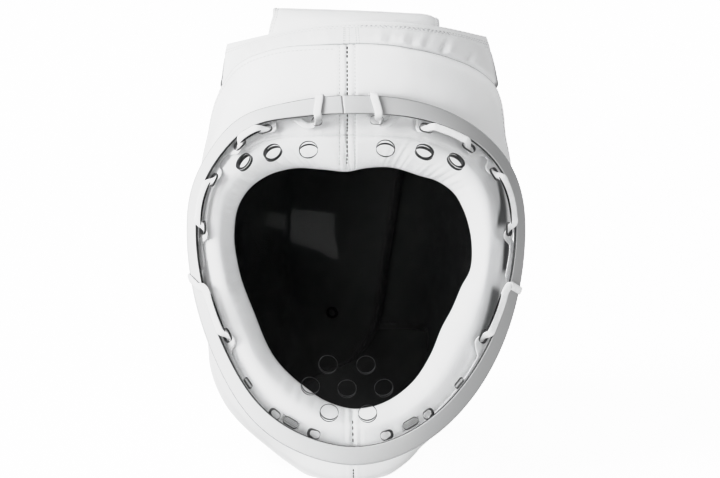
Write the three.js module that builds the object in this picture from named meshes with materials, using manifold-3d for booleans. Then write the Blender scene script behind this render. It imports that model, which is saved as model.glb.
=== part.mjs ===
// A padded kudo head guard with a clear bubble visor, in millimetres, +Z up, front towards -Y.
//
// The hood is described in the face frame: x to the wearer's left, depth back from the face
// plane, and z up along that plane. Standing on its neck rim, the hood leans back by LEAN, so
// the whole group is turned by that angle and set on the floor.
import * as THREE from 'three';
import { mergeVertices } from 'three/addons/utils/BufferGeometryUtils.js';
import Module from 'manifold-3d';

const wasm = await Module();
wasm.setup();

// ---------------------------------------------------------------- driving dimensions

const LEAN = THREE.MathUtils.degToRad(12); // face plane leans back by this when the hood stands
const FLOOR_DROP = 143.5; // from the face frame's origin straight down to the floor
const GAP = 0.3; // between neighbouring pieces
const HOOP_SEAT = 0.6; // hoop over flange, where both are faceted and twisted
const AXIS_Z = 34; // height of the hood's front-to-back axis, where it is widest
const SEAM_DEPTH = 85; // the seams between the front shell and the two wings

const WALL = 18; // padding of the shell and of the wings at the sides
const EDGE_WALL = 5; // padding thinned down along the crown edge
const WING_END_WALL = 7; // the wings where they overlap at the back
const LINING = 1.6;
const LINING_GAP = 0.45;
const LEATHER = 1.8;

const HOOP = {
  halfWidth: 107.8, above: 78.2, below: 147.5, squareAbove: 2.35, squareBelow: 1.9,
  width: 12.6, thickness: 2.6, tiltTop: 8, tiltSide: 60, tiltChin: 12,
};
// Stretches where the hoop's line is fuller: by how much, round which angle, and how wide.
const SWELLS = [{ height: 4.2, at: 136, width: 13 }, { height: 3.6, at: 243, width: 16 }];
const SEAT = { side: 18, ends: 5 }; // how far the hoop's line falls back at its sides and ends
const VISOR = {
  thickness: 2.5, height: 52, flange: 10.8, flangeRight: 4.5, underHoop: 8.5,
  ventRadius: 6.3, ventSides: 14, drill: 16,
  // exponents of the bubble's profile towards the forehead and towards the chin
  fullTop: 2.4, fullChin: 2, steepTop: 0.62, steepChin: 0.95,
};
const LACE = { width: 5.4, thickness: 1.8, sides: 8 };
const LACE_SPACE = LACE.thickness + VISOR.thickness + 8 * GAP; // hoop to shell

// Edge of the face opening, from its widest point on the right up and round.
const OPENING = [
  { x: 80, z: 22 }, { x: 78, z: 36 }, { x: 74, z: 48 }, { x: 67.5, z: 59 }, { x: 56.5, z: 67 },
  { x: 42, z: 71.5 }, { x: 24.5, z: 76.5 }, { x: 8, z: 76.3 }, { x: -7, z: 73.6 }, { x: -24, z: 75.2 },
  { x: -46, z: 75.5 }, { x: -61, z: 71 }, { x: -74, z: 61.5 }, { x: -81.5, z: 49 }, { x: -84, z: 31 },
  { x: -80.5, z: 5 }, { x: -70, z: -24 }, { x: -54, z: -57 }, { x: -38, z: -72.5 },
  { x: -20, z: -84.5 }, { x: 0, z: -89.5 }, { x: 20, z: -84.8 }, { x: 38.5, z: -71.4 },
  { x: 50.6, z: -53.6 }, { x: 58.5, z: -35 }, { x: 66.5, z: -20 }, { x: 72.5, z: -6 },
  { x: 78.7, z: 6 },
];

// The hood at successive heights: half-widths at the side seams, and depth of its back.
const LEVELS = [
  { z: 131, left: 97.8, right: 101.2, back: 186 },
  { z: 96, left: 106.7, right: 107.2, back: 207 },
  { z: 40, left: 111, right: 111, back: 222 },
  { z: 0, left: 109.5, right: 107, back: 222 },
  { z: -40, left: 105.7, right: 101, back: 214 },
  { z: -67, left: 103, right: 88, back: 206 },
  { z: -93, left: 90.8, right: 71, back: 200 },
  { z: -120, left: 63, right: 46, back: 196 },
];

// Crown edge of the padding across the front, left to right. The wall's outer side faces
// `facing` degrees away from straight ahead.
const CROWN_EDGE = [
  { x: -84.2, depth: 56, z: 149.2, facing: 62 },
  { x: -64, depth: 38, z: 157.9, facing: 42 },
  { x: -30.7, depth: 25, z: 161.9, facing: 30 },
  { x: -6.2, depth: 22, z: 162.4, facing: 26 },
  { x: 34.4, depth: 25, z: 160.2, facing: 30 },
  { x: 67.3, depth: 38, z: 153, facing: 42 },
  { x: 89.6, depth: 56, z: 143.5, facing: 62 },
];

// Chin edge, right to left, where the wall turns under.
const CHIN_EDGE = [
  { x: 37, depth: 66, z: -129, facing: 76 },
  { x: 21, depth: 45, z: -138.5, facing: 66 },
  { x: -4, depth: 36, z: -143.5, facing: 60 },
  { x: -32, depth: 45, z: -138.5, facing: 66 },
  { x: -50, depth: 66, z: -129, facing: 76 },
];

// Hem of the crown collar: front half left to right, then back half right to left. The two
// halves meet in corners, like the mouth of a flattened bag.
const HEM_FRONT = [
  { x: -92.8, depth: 95, z: 166.1 }, { x: -61.9, depth: 62, z: 170.4 }, { x: -37, depth: 50, z: 175 },
  { x: -12.4, depth: 44, z: 177.2 }, { x: 5.5, depth: 43, z: 178.2 }, { x: 30.7, depth: 46, z: 177.7 },
  { x: 58.7, depth: 57, z: 175.5 }, { x: 93.4, depth: 93, z: 171.2 },
];
const HEM_BACK = [
  { x: 93.4, depth: 93, z: 171.2 }, { x: 60, depth: 136, z: 168 }, { x: 0, depth: 158, z: 168 },
  { x: -60, depth: 137, z: 166 }, { x: -92.8, depth: 95, z: 166.1 },
];
// At its sides the collar steps out flush with the hood.
const COLLAR = {
  tuck: 7, tuckFront: 13, tuckBack: 8.3, over: 0.8, bulge: 2.5, bulgeLeft: 0.5, bulgeRight: 2.7,
  flush: 5.2, hem: 3,
};

// Free edge of the left wing, which lies inside the right one.
const LEFT_EDGE = [
  { z: 131, x: 49 }, { z: 75, x: 40 }, { z: 11, x: 29.5 }, { z: -39, x: 21 }, { z: -54, x: 14 },
  { z: -66, x: 0 }, { z: -76, x: -19 }, { z: -120, x: -38 },
];
// Lower edges of the wings along the way from the seam (0) to the free edge (1).
const LEFT_BOTTOM = [
  { along: 0, z: -119 }, { along: 0.3, z: -107 }, { along: 0.6, z: -100 }, { along: 0.85, z: -84 },
  { along: 1, z: -73 },
];
const RIGHT_BOTTOM = [
  { along: 0, z: -119 }, { along: 0.2, z: -110 }, { along: 0.32, z: -82 }, { along: 0.42, z: -50 },
  { along: 0.5, z: -42.5 }, { along: 0.7, z: -42 }, { along: 1, z: -42 },
];

// The wings start `behind` in front of their seam and thin towards their ends and the crown; the
// right one sweeps over the back. Values are shares of a wing's length or height.
const WINGS = {
  behind: 6, rightSweep: 118, thinFrom: 0.3, thinTo: 0.65, crownFrom: 0.84, diveFrom: 0.13, diveTo: 0.46,
};

const FLAP = { halfWidth: 59.5, thickness: 3, slope: 0.045 };
// Outer side of the crown flap along its middle, from inside the front hem over to the back.
const FLAP_PATH = [
  { depth: 41, z: 150 }, { depth: 47.5, z: 177 }, { depth: 60, z: 186 }, { depth: 88, z: 190 },
  { depth: 118, z: 188 }, { depth: 144, z: 182.5 }, { depth: 163, z: 174.5 }, { depth: 174, z: 157 },
  { depth: 187, z: 139 }, { depth: 193, z: 128 }, { depth: 208.6, z: 104 }, { depth: 217.4, z: 84 },
];

// The band's ends in degrees round the back, and how far it is cut below the floor's level.
const BAND = { thickness: 8, top: -26, from: 48, to: 132, below: 2 };

// Vent holes in the visor.
const VENTS = [
  { x: -31.8, z: 86.6, lean: 0.3 }, { x: -56, z: 85.3, lean: 0.75 },
  { x: -75.8, z: 79.4, lean: 1 }, { x: 19.8, z: 87.4, lean: 0.3 },
  { x: 46, z: 85.6, lean: 0.75 }, { x: 67.6, z: 79.7, lean: 1 },
  { x: -18.7, z: -56.7, lean: 0.3 }, { x: 6.7, z: -57, lean: 0.3 },
  { x: -30.7, z: -71.7, lean: 0.3 }, { x: -6, z: -73.4, lean: 0.3 },
  { x: 18.7, z: -73, lean: 0.3 }, { x: -18.2, z: -90.3, lean: 0.3 },
  { x: 7.9, z: -90.8, lean: 0.3 },
];

// Slots in the visor's flange: angle about the hood's axis in degrees, place along the band
// from the hoop's inner edge, and size along and across the band.
const SLOTS = [
  { angle: 110, out: -3.6, along: 7, across: 6.4 }, { angle: 79.2, out: -3.6, along: 9, across: 6.4 },
  ...[132.5, 144, 161, 179.5, 219.5, -40, 0, 21.6, 36, 55].map(
    (angle) => ({ angle, out: -4.4, along: 9.6, across: 7 })),
  { angle: 235, out: -1.5, along: 8, across: 3.4 }, { angle: 303.8, out: -1.5, along: 8, across: 3.4 },
  { angle: 246.2, out: -0.8, along: 8.5, across: 6.6 }, { angle: 291.4, out: -1.8, along: 8, across: 6.4 },
  { angle: 251.3, out: -2.6, along: 11, across: 5.8 }, { angle: 285.7, out: -3.6, along: 11, across: 5.8 },
  { angle: 258.3, out: -2.4, along: 9, across: 6.4 }, { angle: 278.5, out: -3.2, along: 9, across: 6.4 },
];

// Vent eyelet through the left wing, with its rim on the lining.
const EYELET = { x: -24.3, z: -33, hole: 2.4, barrel: 3.2, rim: 4.6, lip: 0.9, bevel: 0.3, sides: 14 };

// ---------------------------------------------------------------- helpers

const rad = THREE.MathUtils.degToRad;
const point = (x, depth, z) => new THREE.Vector3(x, depth, z);
const material = (color, roughness, extra = {}) =>
  new THREE.MeshStandardMaterial({ color, roughness, metalness: 0, ...extra });

/** Height of the floor in the face frame at a given depth. */
const floorAt = (depth) => (-FLOOR_DROP + depth * Math.sin(LEAN)) / Math.cos(LEAN);
/** Rests a point that would reach below the floor on it. */
const rest = (p) => point(p.x, p.y, Math.max(p.z, floorAt(p.y)));

/** Smooth interpolation of a table's columns over its key column. */
function lookup(rows, key, at) {
  const sorted = [...rows].sort((a, b) => a[key] - b[key]);
  const last = sorted.length - 1;
  let i = 0;
  while (i < last - 1 && sorted[i + 1][key] < at) i += 1;
  const near = sorted[i];
  const far = sorted[i + 1];
  const before = sorted[Math.max(i - 1, 0)];
  const after = sorted[Math.min(i + 2, last)];
  const t = THREE.MathUtils.clamp((at - near[key]) / (far[key] - near[key]), 0, 1);
  const out = {};
  for (const name of Object.keys(near)) {
    const span = far[key] - near[key];
    const slopeNear = (far[name] - before[name]) / (far[key] - before[key]) * span;
    const slopeFar = (after[name] - near[name]) / (after[key] - near[key]) * span;
    const t2 = t * t;
    const t3 = t2 * t;
    out[name] = near[name] * (2 * t3 - 3 * t2 + 1) + slopeNear * (t3 - 2 * t2 + t)
      + far[name] * (3 * t2 - 2 * t3) + slopeFar * (t3 - t2);
  }
  return out;
}

/** A closed ring about the axis, smoothly interpolated by angle from rows with x and z. */
function ringTable(rows) {
  const byAngle = rows.map((row) => ({
    ...row,
    angle: Math.atan2(row.z - AXIS_Z, row.x),
    radius: Math.hypot(row.x, row.z - AXIS_Z),
  }));
  const turn = 2 * Math.PI;
  const turned = (shift) => byAngle.map((row) => ({ ...row, angle: row.angle + shift }));
  const wrapped = [-turn, 0, turn].flatMap(turned);
  return (theta) => lookup(wrapped, 'angle', Math.atan2(Math.sin(theta), Math.cos(theta)));
}

/** Builds a mesh geometry from triangles given as corner points, dropping collapsed ones. */
function fromTriangles(triangles) {
  const flat = [];
  const tiny = 1e-7;
  let volume = 0;
  for (const [a, b, c] of triangles) {
    const area = b.clone().sub(a).cross(c.clone().sub(a)).length();
    if (area < tiny) continue;
    volume += a.dot(b.clone().cross(c));
    flat.push([a, b, c]);
  }
  const outward = flat.flatMap(([a, b, c]) => (volume > 0 ? [a, b, c] : [a, c, b]));
  const positions = outward.flatMap((p) => p.toArray());
  const geometry = new THREE.BufferGeometry();
  geometry.setAttribute('position', new THREE.Float32BufferAttribute(positions, 3));
  return mergeVertices(geometry, 1e-4);
}

/** Skins a row of closed loops. An open row gets flat ends, a closed one joins up. */
function skin(loops, closed = false) {
  const triangles = [];
  const size = loops[0].length;
  const spans = closed ? loops.length : loops.length - 1;
  const quad = (a, b, c, d) => triangles.push([a, b, c], [a, c, d]);
  for (let i = 0; i < spans; i += 1) {
    const here = loops[i];
    const next = loops[(i + 1) % loops.length];
    for (let j = 0; j < size; j += 1) {
      const k = (j + 1) % size;
      quad(here[j], here[k], next[k], next[j]);
    }
  }
  if (!closed) {
    for (const [loop, flip] of [[loops[0], true], [loops[loops.length - 1], false]]) {
      for (let j = 0; j < size / 2 - 1; j += 1) {
        const corners = [loop[j], loop[j + 1], loop[size - 2 - j], loop[size - 1 - j]];
        if (flip) corners.reverse();
        quad(...corners);
      }
    }
  }
  return fromTriangles(triangles);
}

/** Unit normal of a surface at (s, t), pointing away from the hood's inside. */
function normalOf(surface, s, t) {
  const step = 1e-3;
  const across = surface(Math.min(s + step, 1), t).sub(surface(Math.max(s - step, 0), t));
  const up = surface(s, Math.min(t + step, 1)).sub(surface(s, Math.max(t - step, 0)));
  const normal = across.cross(up).normalize();
  const middle = point(0, 110, 30);
  return normal.dot(surface(s, t).sub(middle)) < 0 ? normal.negate() : normal;
}

/**
 * A padded panel whose outer side follows the surface, with rounded edges, and the lining that
 * covers its inner side.
 */
function panel(surface, wall, { columns, rows, roundness = 7, depthOf = () => 0 }) {
  const spacing = (n) => Array.from({ length: n + 1 }, (_, i) => 0.5 - 0.5 * Math.cos(Math.PI * i / n));
  const sections = spacing(columns).map((s) => spacing(rows).map((t) => {
    const p = surface(s, t);
    const normal = normalOf(surface, s, t);
    const edges = [[0, t], [1, t], [s, 0], [s, 1]].map(([a, b]) => p.distanceTo(surface(a, b)));
    const close = Math.min(1, Math.min(...edges) / roundness);
    const fullness = 0.45 + 0.55 * Math.sqrt(1 - (1 - close) ** 2);
    const half = wall(s, t) / 2;
    const middle = depthOf(s, t) + half;
    const at = (depth) => rest(p.clone().addScaledVector(normal, -depth));
    return {
      outer: at(middle - half * fullness),
      inner: at(middle + half * fullness),
      near: at(middle + half * fullness + LINING_GAP),
      far: at(middle + half * fullness + LINING_GAP + LINING),
    };
  }));
  const loops = (cells, front, back) => cells.map(
    (section) => [...section.map((cell) => cell[front]), ...section.map((cell) => cell[back]).reverse()]);
  const covered = sections.slice(1, -1).map((section) => section.slice(1, -1));
  return { body: skin(loops(sections, 'outer', 'inner')), lining: skin(loops(covered, 'near', 'far')) };
}

function toSolid(geometry) {
  const clean = geometry.clone();
  clean.deleteAttribute('normal');
  clean.deleteAttribute('uv');
  const merged = mergeVertices(clean, 1e-4);
  return new wasm.Manifold(new wasm.Mesh({
    numProp: 3,
    vertProperties: new Float32Array(merged.attributes.position.array),
    triVerts: new Uint32Array(merged.index.array),
  }));
}

function toGeometry(solid) {
  const mesh = solid.getMesh();
  const geometry = new THREE.BufferGeometry();
  geometry.setAttribute('position', new THREE.BufferAttribute(mesh.vertProperties, 3));
  geometry.setIndex(new THREE.BufferAttribute(mesh.triVerts, 1));
  return geometry;
}

/** Cuts a piece square at the seams, keeping what lies between two depths. */
function trim(geometry, from, to) {
  const slab = new THREE.BoxGeometry(600, to - from, 600).translate(0, (from + to) / 2, 0);
  return toGeometry(toSolid(geometry).intersect(toSolid(slab)));
}

/** A cutter placed with its own axes: along, across and through. */
function placed(geometry, centre, along, through) {
  const xAxis = along.clone().normalize();
  const zAxis = through.clone().normalize();
  const yAxis = zAxis.clone().cross(xAxis).normalize();
  const basis = new THREE.Matrix4().makeBasis(xAxis, yAxis, zAxis);
  return geometry.applyMatrix4(basis.setPosition(centre));
}

// ---------------------------------------------------------------- the hoop's line

/** Distance from the axis to the hoop's inner edge. */
function hoopRadius(theta) {
  const up = Math.sin(theta) > 0;
  const height = up ? HOOP.above : HOOP.below;
  const square = up ? HOOP.squareAbove : HOOP.squareBelow;
  let radius = (Math.abs(Math.cos(theta) / HOOP.halfWidth) ** square
    + Math.abs(Math.sin(theta) / height) ** square) ** (-1 / square);
  for (const swell of SWELLS) {
    const turned = theta - rad(swell.at);
    const away = Math.atan2(Math.sin(turned), Math.cos(turned)) / rad(swell.width);
    radius += swell.height * Math.exp(-away * away);
  }
  return radius;
}

function hoopTilt(theta) {
  const end = Math.sin(theta) > 0 ? HOOP.tiltTop : HOOP.tiltChin;
  return rad(end + (HOOP.tiltSide - end) * Math.abs(Math.cos(theta)) ** 1.5);
}

/**
 * A point given along the hoop's band: `offset` outward from its inner edge, `height` off the
 * flange on which it lies.
 */
function onBand(theta, offset, height) {
  const radius = hoopRadius(theta);
  const x = radius * Math.cos(theta);
  const z = AXIS_Z + radius * Math.sin(theta);
  const depth = SEAT.side * (x / HOOP.halfWidth) ** 2 + SEAT.ends * (z / 112) ** 2;
  const tilt = hoopTilt(theta);
  const outward = offset * Math.cos(tilt) + height * Math.sin(tilt);
  const back = offset * Math.sin(tilt) - height * Math.cos(tilt);
  return point(x + outward * Math.cos(theta), depth + back, z + outward * Math.sin(theta));
}

/** The same point as distance from the axis and depth. */
function bandProfile(theta, offset, height) {
  const p = onBand(theta, offset, height);
  return { r: Math.hypot(p.x, p.z - AXIS_Z), depth: p.y };
}

const spoke = (theta, { r, depth }) => point(r * Math.cos(theta), depth, AXIS_Z + r * Math.sin(theta));
const SHELL_STEPS = 48;
const HOOP_STEPS = 60;
const turnSteps = (n) => Array.from({ length: n }, (_, i) => (2 * Math.PI * i) / n);

// ---------------------------------------------------------------- shell

const opening = ringTable(OPENING);

const seamRows = (side, sign) => LEVELS.map((level) => ({
  x: sign * level[side], depth: SEAM_DEPTH, z: level.z, facing: 90, wall: WALL,
}));
const boundary = ringTable([
  ...CROWN_EDGE.map((row) => ({ ...row, wall: EDGE_WALL })),
  ...seamRows('right', 1),
  ...CHIN_EDGE.map((row) => ({ ...row, wall: WALL - 2 })),
  ...seamRows('left', -1),
]);

// The lip is rolled: its nose, front and rear lie `nose`, `front` and `rear` behind the hoop's
// seat, and it is `roll` thick round the edge. Stretches wider than `flat` swell forward.
const LIP = { nose: 13, front: 4, rear: 23, roll: 5, rollRear: 6, swell: 0.12, flat: 18 };
// The wall's crest between the hoop and its outer edge, and how that edge is rounded.
const CREST = { lift: 3, near: 0.85, nearLift: 1, round: 2, hollow: 4 };
const SEAT_EDGES = { inner: -5, outer: HOOP.width - 1, sideGap: 7 };

/** Closed section of the shell's wall along one spoke, as control points. */
function shellSection(theta) {
  const lip = opening(theta).radius;
  const edge = boundary(theta);
  const clear = LACE_SPACE + SEAT_EDGES.sideGap * Math.max(0, Math.cos(theta)) ** 2;
  const seatIn = bandProfile(theta, SEAT_EDGES.inner, -clear);
  const seatOut = bandProfile(theta, SEAT_EDGES.outer, -clear);
  const facing = rad(edge.facing);
  const out = { r: Math.sin(facing), depth: -Math.cos(facing) };
  const end = { r: Math.cos(facing), depth: Math.sin(facing) };
  const mix = (a, b, t, lift = 0) => ({
    r: a.r + (b.r - a.r) * t + out.r * lift,
    depth: a.depth + (b.depth - a.depth) * t + out.depth * lift,
  });
  const { round } = CREST;
  const rim = { r: edge.radius - end.r * round, depth: edge.depth - end.depth * round };
  const rimInner = mix(rim, rim, 0, -edge.wall);
  const rimEnd = mix(rim, rimInner, 0.5);
  rimEnd.r += end.r * round;
  rimEnd.depth += end.depth * round;
  const crest = mix(seatOut, rim, 0.5, CREST.lift);
  const swell = 0.5 + LIP.swell * Math.max(0, seatIn.r - lip - LIP.flat);
  const ringFront = { r: (lip + seatIn.r) / 2 + 2, depth: seatIn.depth - swell };
  const middle = (lip + seatOut.r) / 2 + CREST.hollow;
  return [
    { r: lip + LIP.rollRear, depth: seatIn.depth + LIP.rear },
    { r: lip, depth: seatIn.depth + LIP.nose },
    { r: lip + LIP.roll, depth: seatIn.depth + LIP.front },
    ringFront,
    seatIn,
    seatOut,
    crest,
    mix(seatOut, rim, CREST.near, CREST.nearLift),
    rim,
    rimEnd,
    rimInner,
    mix(crest, crest, 0, -WALL),
    { r: middle, depth: Math.max(seatIn.depth, seatOut.depth) + WALL },
  ];
}

const SECTION_POINTS = 26;
const LINED_FROM = 21; // the section's points from here on face the inside

function sectionLoop(theta) {
  const curve = new THREE.CatmullRomCurve3(
    shellSection(theta).map((q) => point(q.r, q.depth, 0)), true, 'centripetal');
  return curve.getPoints(SECTION_POINTS).slice(0, SECTION_POINTS)
    .map((q) => rest(spoke(theta, { r: q.x, depth: q.y })));
}

const CROWN_CORNERS = [47.5, 50, 130, 132.5].map(rad); // closer spokes where seams meet the crown
const shellSpokes = [...turnSteps(SHELL_STEPS), ...CROWN_CORNERS].sort((a, b) => a - b);
const shellLoops = shellSpokes.map(sectionLoop);
const shellGeometry = () => trim(skin(shellLoops, true), -100, SEAM_DEPTH);

/** The black lining follows the shell's inner side from the lip to the outer edge. */
function shellLiningGeometry() {
  const loops = shellSpokes.map((theta, i) => {
    const loop = shellLoops[i];
    const around = point(-Math.sin(theta), 0, Math.cos(theta));
    const indices = [...loop.keys()].slice(LINED_FROM).concat(0);
    const layer = (offset) => indices.map((index) => {
      const before = loop[(index + SECTION_POINTS - 1) % SECTION_POINTS];
      const along = loop[(index + 1) % SECTION_POINTS].clone().sub(before);
      return loop[index].clone().addScaledVector(along.cross(around).normalize(), offset);
    });
    return [...layer(LINING_GAP), ...layer(LINING_GAP + LINING).reverse()];
  });
  return trim(skin(loops, true), -100, SEAM_DEPTH);
}

// ---------------------------------------------------------------- wings and neck band

/** Point on the hood's outside behind the seams, `around` radians from a side towards the back. */
function hoodSurface(side, around, z) {
  const level = lookup(LEVELS, 'z', z);
  const own = side === 'left' ? -level.left : level.right;
  const other = side === 'left' ? level.right : -level.left;
  const cosine = Math.cos(around);
  const x = cosine > 0 ? own * cosine : other * -cosine;
  const start = SEAM_DEPTH - WINGS.behind;
  return point(x, start + (level.back - start) * Math.sin(around), z);
}

function wingSurface(side) {
  const bottomRows = side === 'left' ? LEFT_BOTTOM : RIGHT_BOTTOM;
  return (s, t) => {
    const bottom = lookup(bottomRows, 'along', s).z;
    const z = bottom + (LEVELS[0].z - bottom) * t;
    const level = lookup(LEVELS, 'z', z);
    let sweep = rad(WINGS.rightSweep);
    if (side === 'left') {
      const x = lookup(LEFT_EDGE, 'z', z).x;
      sweep = Math.PI / 2 + Math.asin(x / (x > 0 ? level.right : level.left));
    }
    return hoodSurface(side, s * sweep, z);
  };
}

const smooth = (from, to, at) => THREE.MathUtils.smoothstep(at, from, to);

function wingWall(s, t) {
  const thin = THREE.MathUtils.lerp(WALL, WING_END_WALL, smooth(WINGS.thinFrom, WINGS.thinTo, s));
  return THREE.MathUtils.lerp(thin, EDGE_WALL, smooth(WINGS.crownFrom, 1, t));
}

/** The left wing dives inside the right one on its way to the back. */
const LEFT_DEPTH = WING_END_WALL + LINING + 9 * GAP;
const leftDepth = (s) => LEFT_DEPTH * smooth(WINGS.diveFrom, WINGS.diveTo, s);

const wingPanel = (side) => panel(wingSurface(side), wingWall, {
  columns: 16, rows: 12, depthOf: side === 'left' ? leftDepth : () => 0,
});
const behindSeam = (geometry) => trim(geometry, SEAM_DEPTH + GAP, 400);

function bandSurface(s, t) {
  const around = rad(BAND.from + (BAND.to - BAND.from) * s);
  const depth = hoodSurface('left', around, LEVELS[6].z).y;
  const bottom = floorAt(depth) - BAND.below;
  return hoodSurface('left', around, bottom + (BAND.top - bottom) * t);
}

const bandPanel = () => panel(bandSurface, () => BAND.thickness, {
  columns: 16, rows: 6, roundness: 5, depthOf: () => -BAND.thickness - LINING_GAP - LINING - 2 * GAP,
});

/** Moves a solid shape onto the eyelet's line: its z axis points in through the left wing. */
function onEyeletLine(geometry) {
  const around = Math.acos(-EYELET.x / lookup(LEVELS, 'z', EYELET.z).left);
  const turn = 0.01;
  const surface = (turned, raised) => hoodSurface('left', around + turned, EYELET.z + raised);
  const along = surface(-turn, 0).sub(surface(turn, 0));
  const up = surface(0, 1).sub(surface(0, -1));
  return placed(geometry, surface(0, 0), along, up.cross(along));
}

const EYELET_SEAT = LEFT_DEPTH + WING_END_WALL + LINING_GAP + LINING + 2 * GAP; // on the lining
const EYELET_START = LEFT_DEPTH + 0.6; // just inside the left wing's outer side

function eyeletGeometry() {
  const end = EYELET_SEAT + EYELET.lip;
  const profile = [
    [EYELET.hole, EYELET_START], [EYELET.barrel, EYELET_START], [EYELET.barrel, EYELET_SEAT],
    [EYELET.rim, EYELET_SEAT], [EYELET.rim, end - EYELET.bevel], [EYELET.rim - EYELET.bevel, end],
    [EYELET.hole + EYELET.bevel, end], [EYELET.hole, end - EYELET.bevel], [EYELET.hole, EYELET_START],
  ].map(([radius, along]) => new THREE.Vector2(radius, along));
  return onEyeletLine(new THREE.LatheGeometry(profile, EYELET.sides).rotateX(Math.PI / 2));
}

function withEyeletHole(geometry) {
  const radius = EYELET.barrel + GAP;
  const drill = new THREE.CylinderGeometry(radius, radius, 80, EYELET.sides).rotateX(Math.PI / 2);
  return toGeometry(toSolid(geometry).subtract(toSolid(onEyeletLine(drill))));
}

// ---------------------------------------------------------------- crown

const curveThrough = (rows) => new THREE.CatmullRomCurve3(rows.map((q) => point(q.x, q.depth, q.z)));
const seamTop = LEVELS[0];
const crownFront = curveThrough([
  { x: -seamTop.left, depth: SEAM_DEPTH, z: seamTop.z }, ...CROWN_EDGE,
  { x: seamTop.right, depth: SEAM_DEPTH, z: seamTop.z },
]);
const hemFront = curveThrough(HEM_FRONT);
const hemBack = curveThrough(HEM_BACK);

/** Stations round the crown: a point on the padding's edge and one on the hem above it. */
function crownStations(perHalf) {
  const stations = [];
  for (let i = 0; i < 2 * perHalf; i += 1) {
    const q = (i % perHalf) / perHalf;
    const front = i < perHalf;
    stations.push({
      inset: THREE.MathUtils.lerp(COLLAR.tuckFront, COLLAR.tuckBack,
        front ? 0 : smooth(0.02, 0.1, q) * (1 - smooth(0.9, 0.98, q))),
      // the collar rides over the left wing where that dives inside it
      riding: front ? 0 : smooth(0.6, 0.68, q) * (1 - smooth(0.94, 1, q)),
      edge: front ? crownFront.getPointAt(q) : hoodSurface('right', q * Math.PI, seamTop.z),
      hem: (front ? hemFront : hemBack).getPointAt(q),
    });
  }
  return stations;
}

/** Level direction from a crown point towards the inside of the mouth. */
const inwards = (p) => point(-0.55 * p.x, 105 - p.y, 0).normalize();

function collarGeometry() {
  const loops = crownStations(24).map(({ edge, hem, inset, riding }) => {
    const inward = inwards(edge);
    const drop = THREE.MathUtils.lerp(COLLAR.tuck, -COLLAR.over, riding);
    const tucked = edge.clone().addScaledVector(inward, inset).add(point(0, 0, -drop));
    const level = edge.clone().addScaledVector(inward, EDGE_WALL + 3 * GAP)
      .add(point(0, 0, 2 * COLLAR.over * riding));
    const side = (edge.x / seamTop.right) ** 4;
    const sideBulge = edge.x < 0 ? COLLAR.bulgeLeft : COLLAR.bulgeRight;
    const bulge = THREE.MathUtils.lerp(COLLAR.bulge, sideBulge, side);
    const rising = (t) => level.clone().lerp(hem, t)
      .addScaledVector(inward, -bulge * Math.sin(Math.PI * t ** 0.8) - COLLAR.flush * side * (1 - t));
    const outer = [tucked, level, rising(0.13), rising(0.35), rising(0.7), hem];
    const walls = [LEATHER, LEATHER, LEATHER, LEATHER, COLLAR.hem, COLLAR.hem];
    const inner = outer.map((p, i) => p.clone().addScaledVector(inward, walls[i]));
    return [...outer, ...inner.reverse()];
  });
  return skin(loops, true);
}

const flapLine = curveThrough(FLAP_PATH.map((q) => ({ x: 0, ...q })));

/** The flap curves with the front hem where it leaves it, and with the hood's back at its end. */
function flapSurface(s, t) {
  const middle = flapLine.getPointAt(t);
  const x = FLAP.halfWidth * (2 * s - 1);
  const alongHem = 1.12 * (lookup(HEM_FRONT, 'x', x).depth - lookup(HEM_FRONT, 'x', 0).depth);
  const z = Math.min(middle.z, seamTop.z);
  const level = lookup(LEVELS, 'z', z);
  const side = x < 0 ? level.left : level.right;
  const deep = level.back - SEAM_DEPTH + WINGS.behind;
  const alongBack = deep * (Math.sqrt(1 - (x / side) ** 2) - 1);
  const atFront = 1 - smooth(0.1, 0.4, t);
  const atBack = smooth(0.45, 0.72, t);
  const crest = Math.sin(Math.PI * Math.min(1, t / 0.6));
  return point(x, middle.y + alongHem * atFront + alongBack * atBack, middle.z - FLAP.slope * x * crest);
}

const flapGeometry = () => panel(flapSurface, () => FLAP.thickness, {
  columns: 8, rows: 20, roundness: 2,
}).body;

// ---------------------------------------------------------------- visor and hoop

const flangeWidth = (theta) => VISOR.flange + VISOR.flangeRight * Math.max(0, Math.cos(theta)) ** 2;

/** Depth of the bubble along a spoke, from its crest (0) to its foot on the flange (1). */
function bubble(theta, way) {
  const foot = bandProfile(theta, -flangeWidth(theta), 0);
  const up = 0.5 + 0.5 * Math.sin(theta);
  const full = THREE.MathUtils.lerp(VISOR.fullChin, VISOR.fullTop, up);
  const steep = THREE.MathUtils.lerp(VISOR.steepChin, VISOR.steepTop, up);
  return {
    r: foot.r * way,
    depth: foot.depth * way ** 2 - VISOR.height * Math.max(0, 1 - way ** full) ** steep,
  };
}

function bubbleAt(x, z) {
  const theta = Math.atan2(z - AXIS_Z, x);
  const foot = bandProfile(theta, -flangeWidth(theta), 0);
  return spoke(theta, bubble(theta, Math.hypot(x, z - AXIS_Z) / foot.r));
}

function visorSection(theta) {
  const ways = [0, 0.3, 0.55, 0.74, 0.87, 0.95, 1];
  const dome = ways.map((way) => bubble(theta, way));
  const flange = [0, VISOR.underHoop].map((offset) => bandProfile(theta, offset, 0));
  const outer = [...dome, ...flange];
  const inner = outer.map((q, i) => {
    const before = outer[Math.max(i - 1, 0)];
    const after = outer[Math.min(i + 1, outer.length - 1)];
    const length = Math.hypot(after.r - before.r, after.depth - before.depth);
    const across = { r: -(after.depth - before.depth) / length, depth: (after.r - before.r) / length };
    const inside = i === 0 ? { r: 0, depth: 1 } : across;
    return { r: q.r + inside.r * VISOR.thickness, depth: q.depth + inside.depth * VISOR.thickness };
  });
  return [...outer, ...inner.reverse()].map((q) => spoke(theta, q));
}

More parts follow.
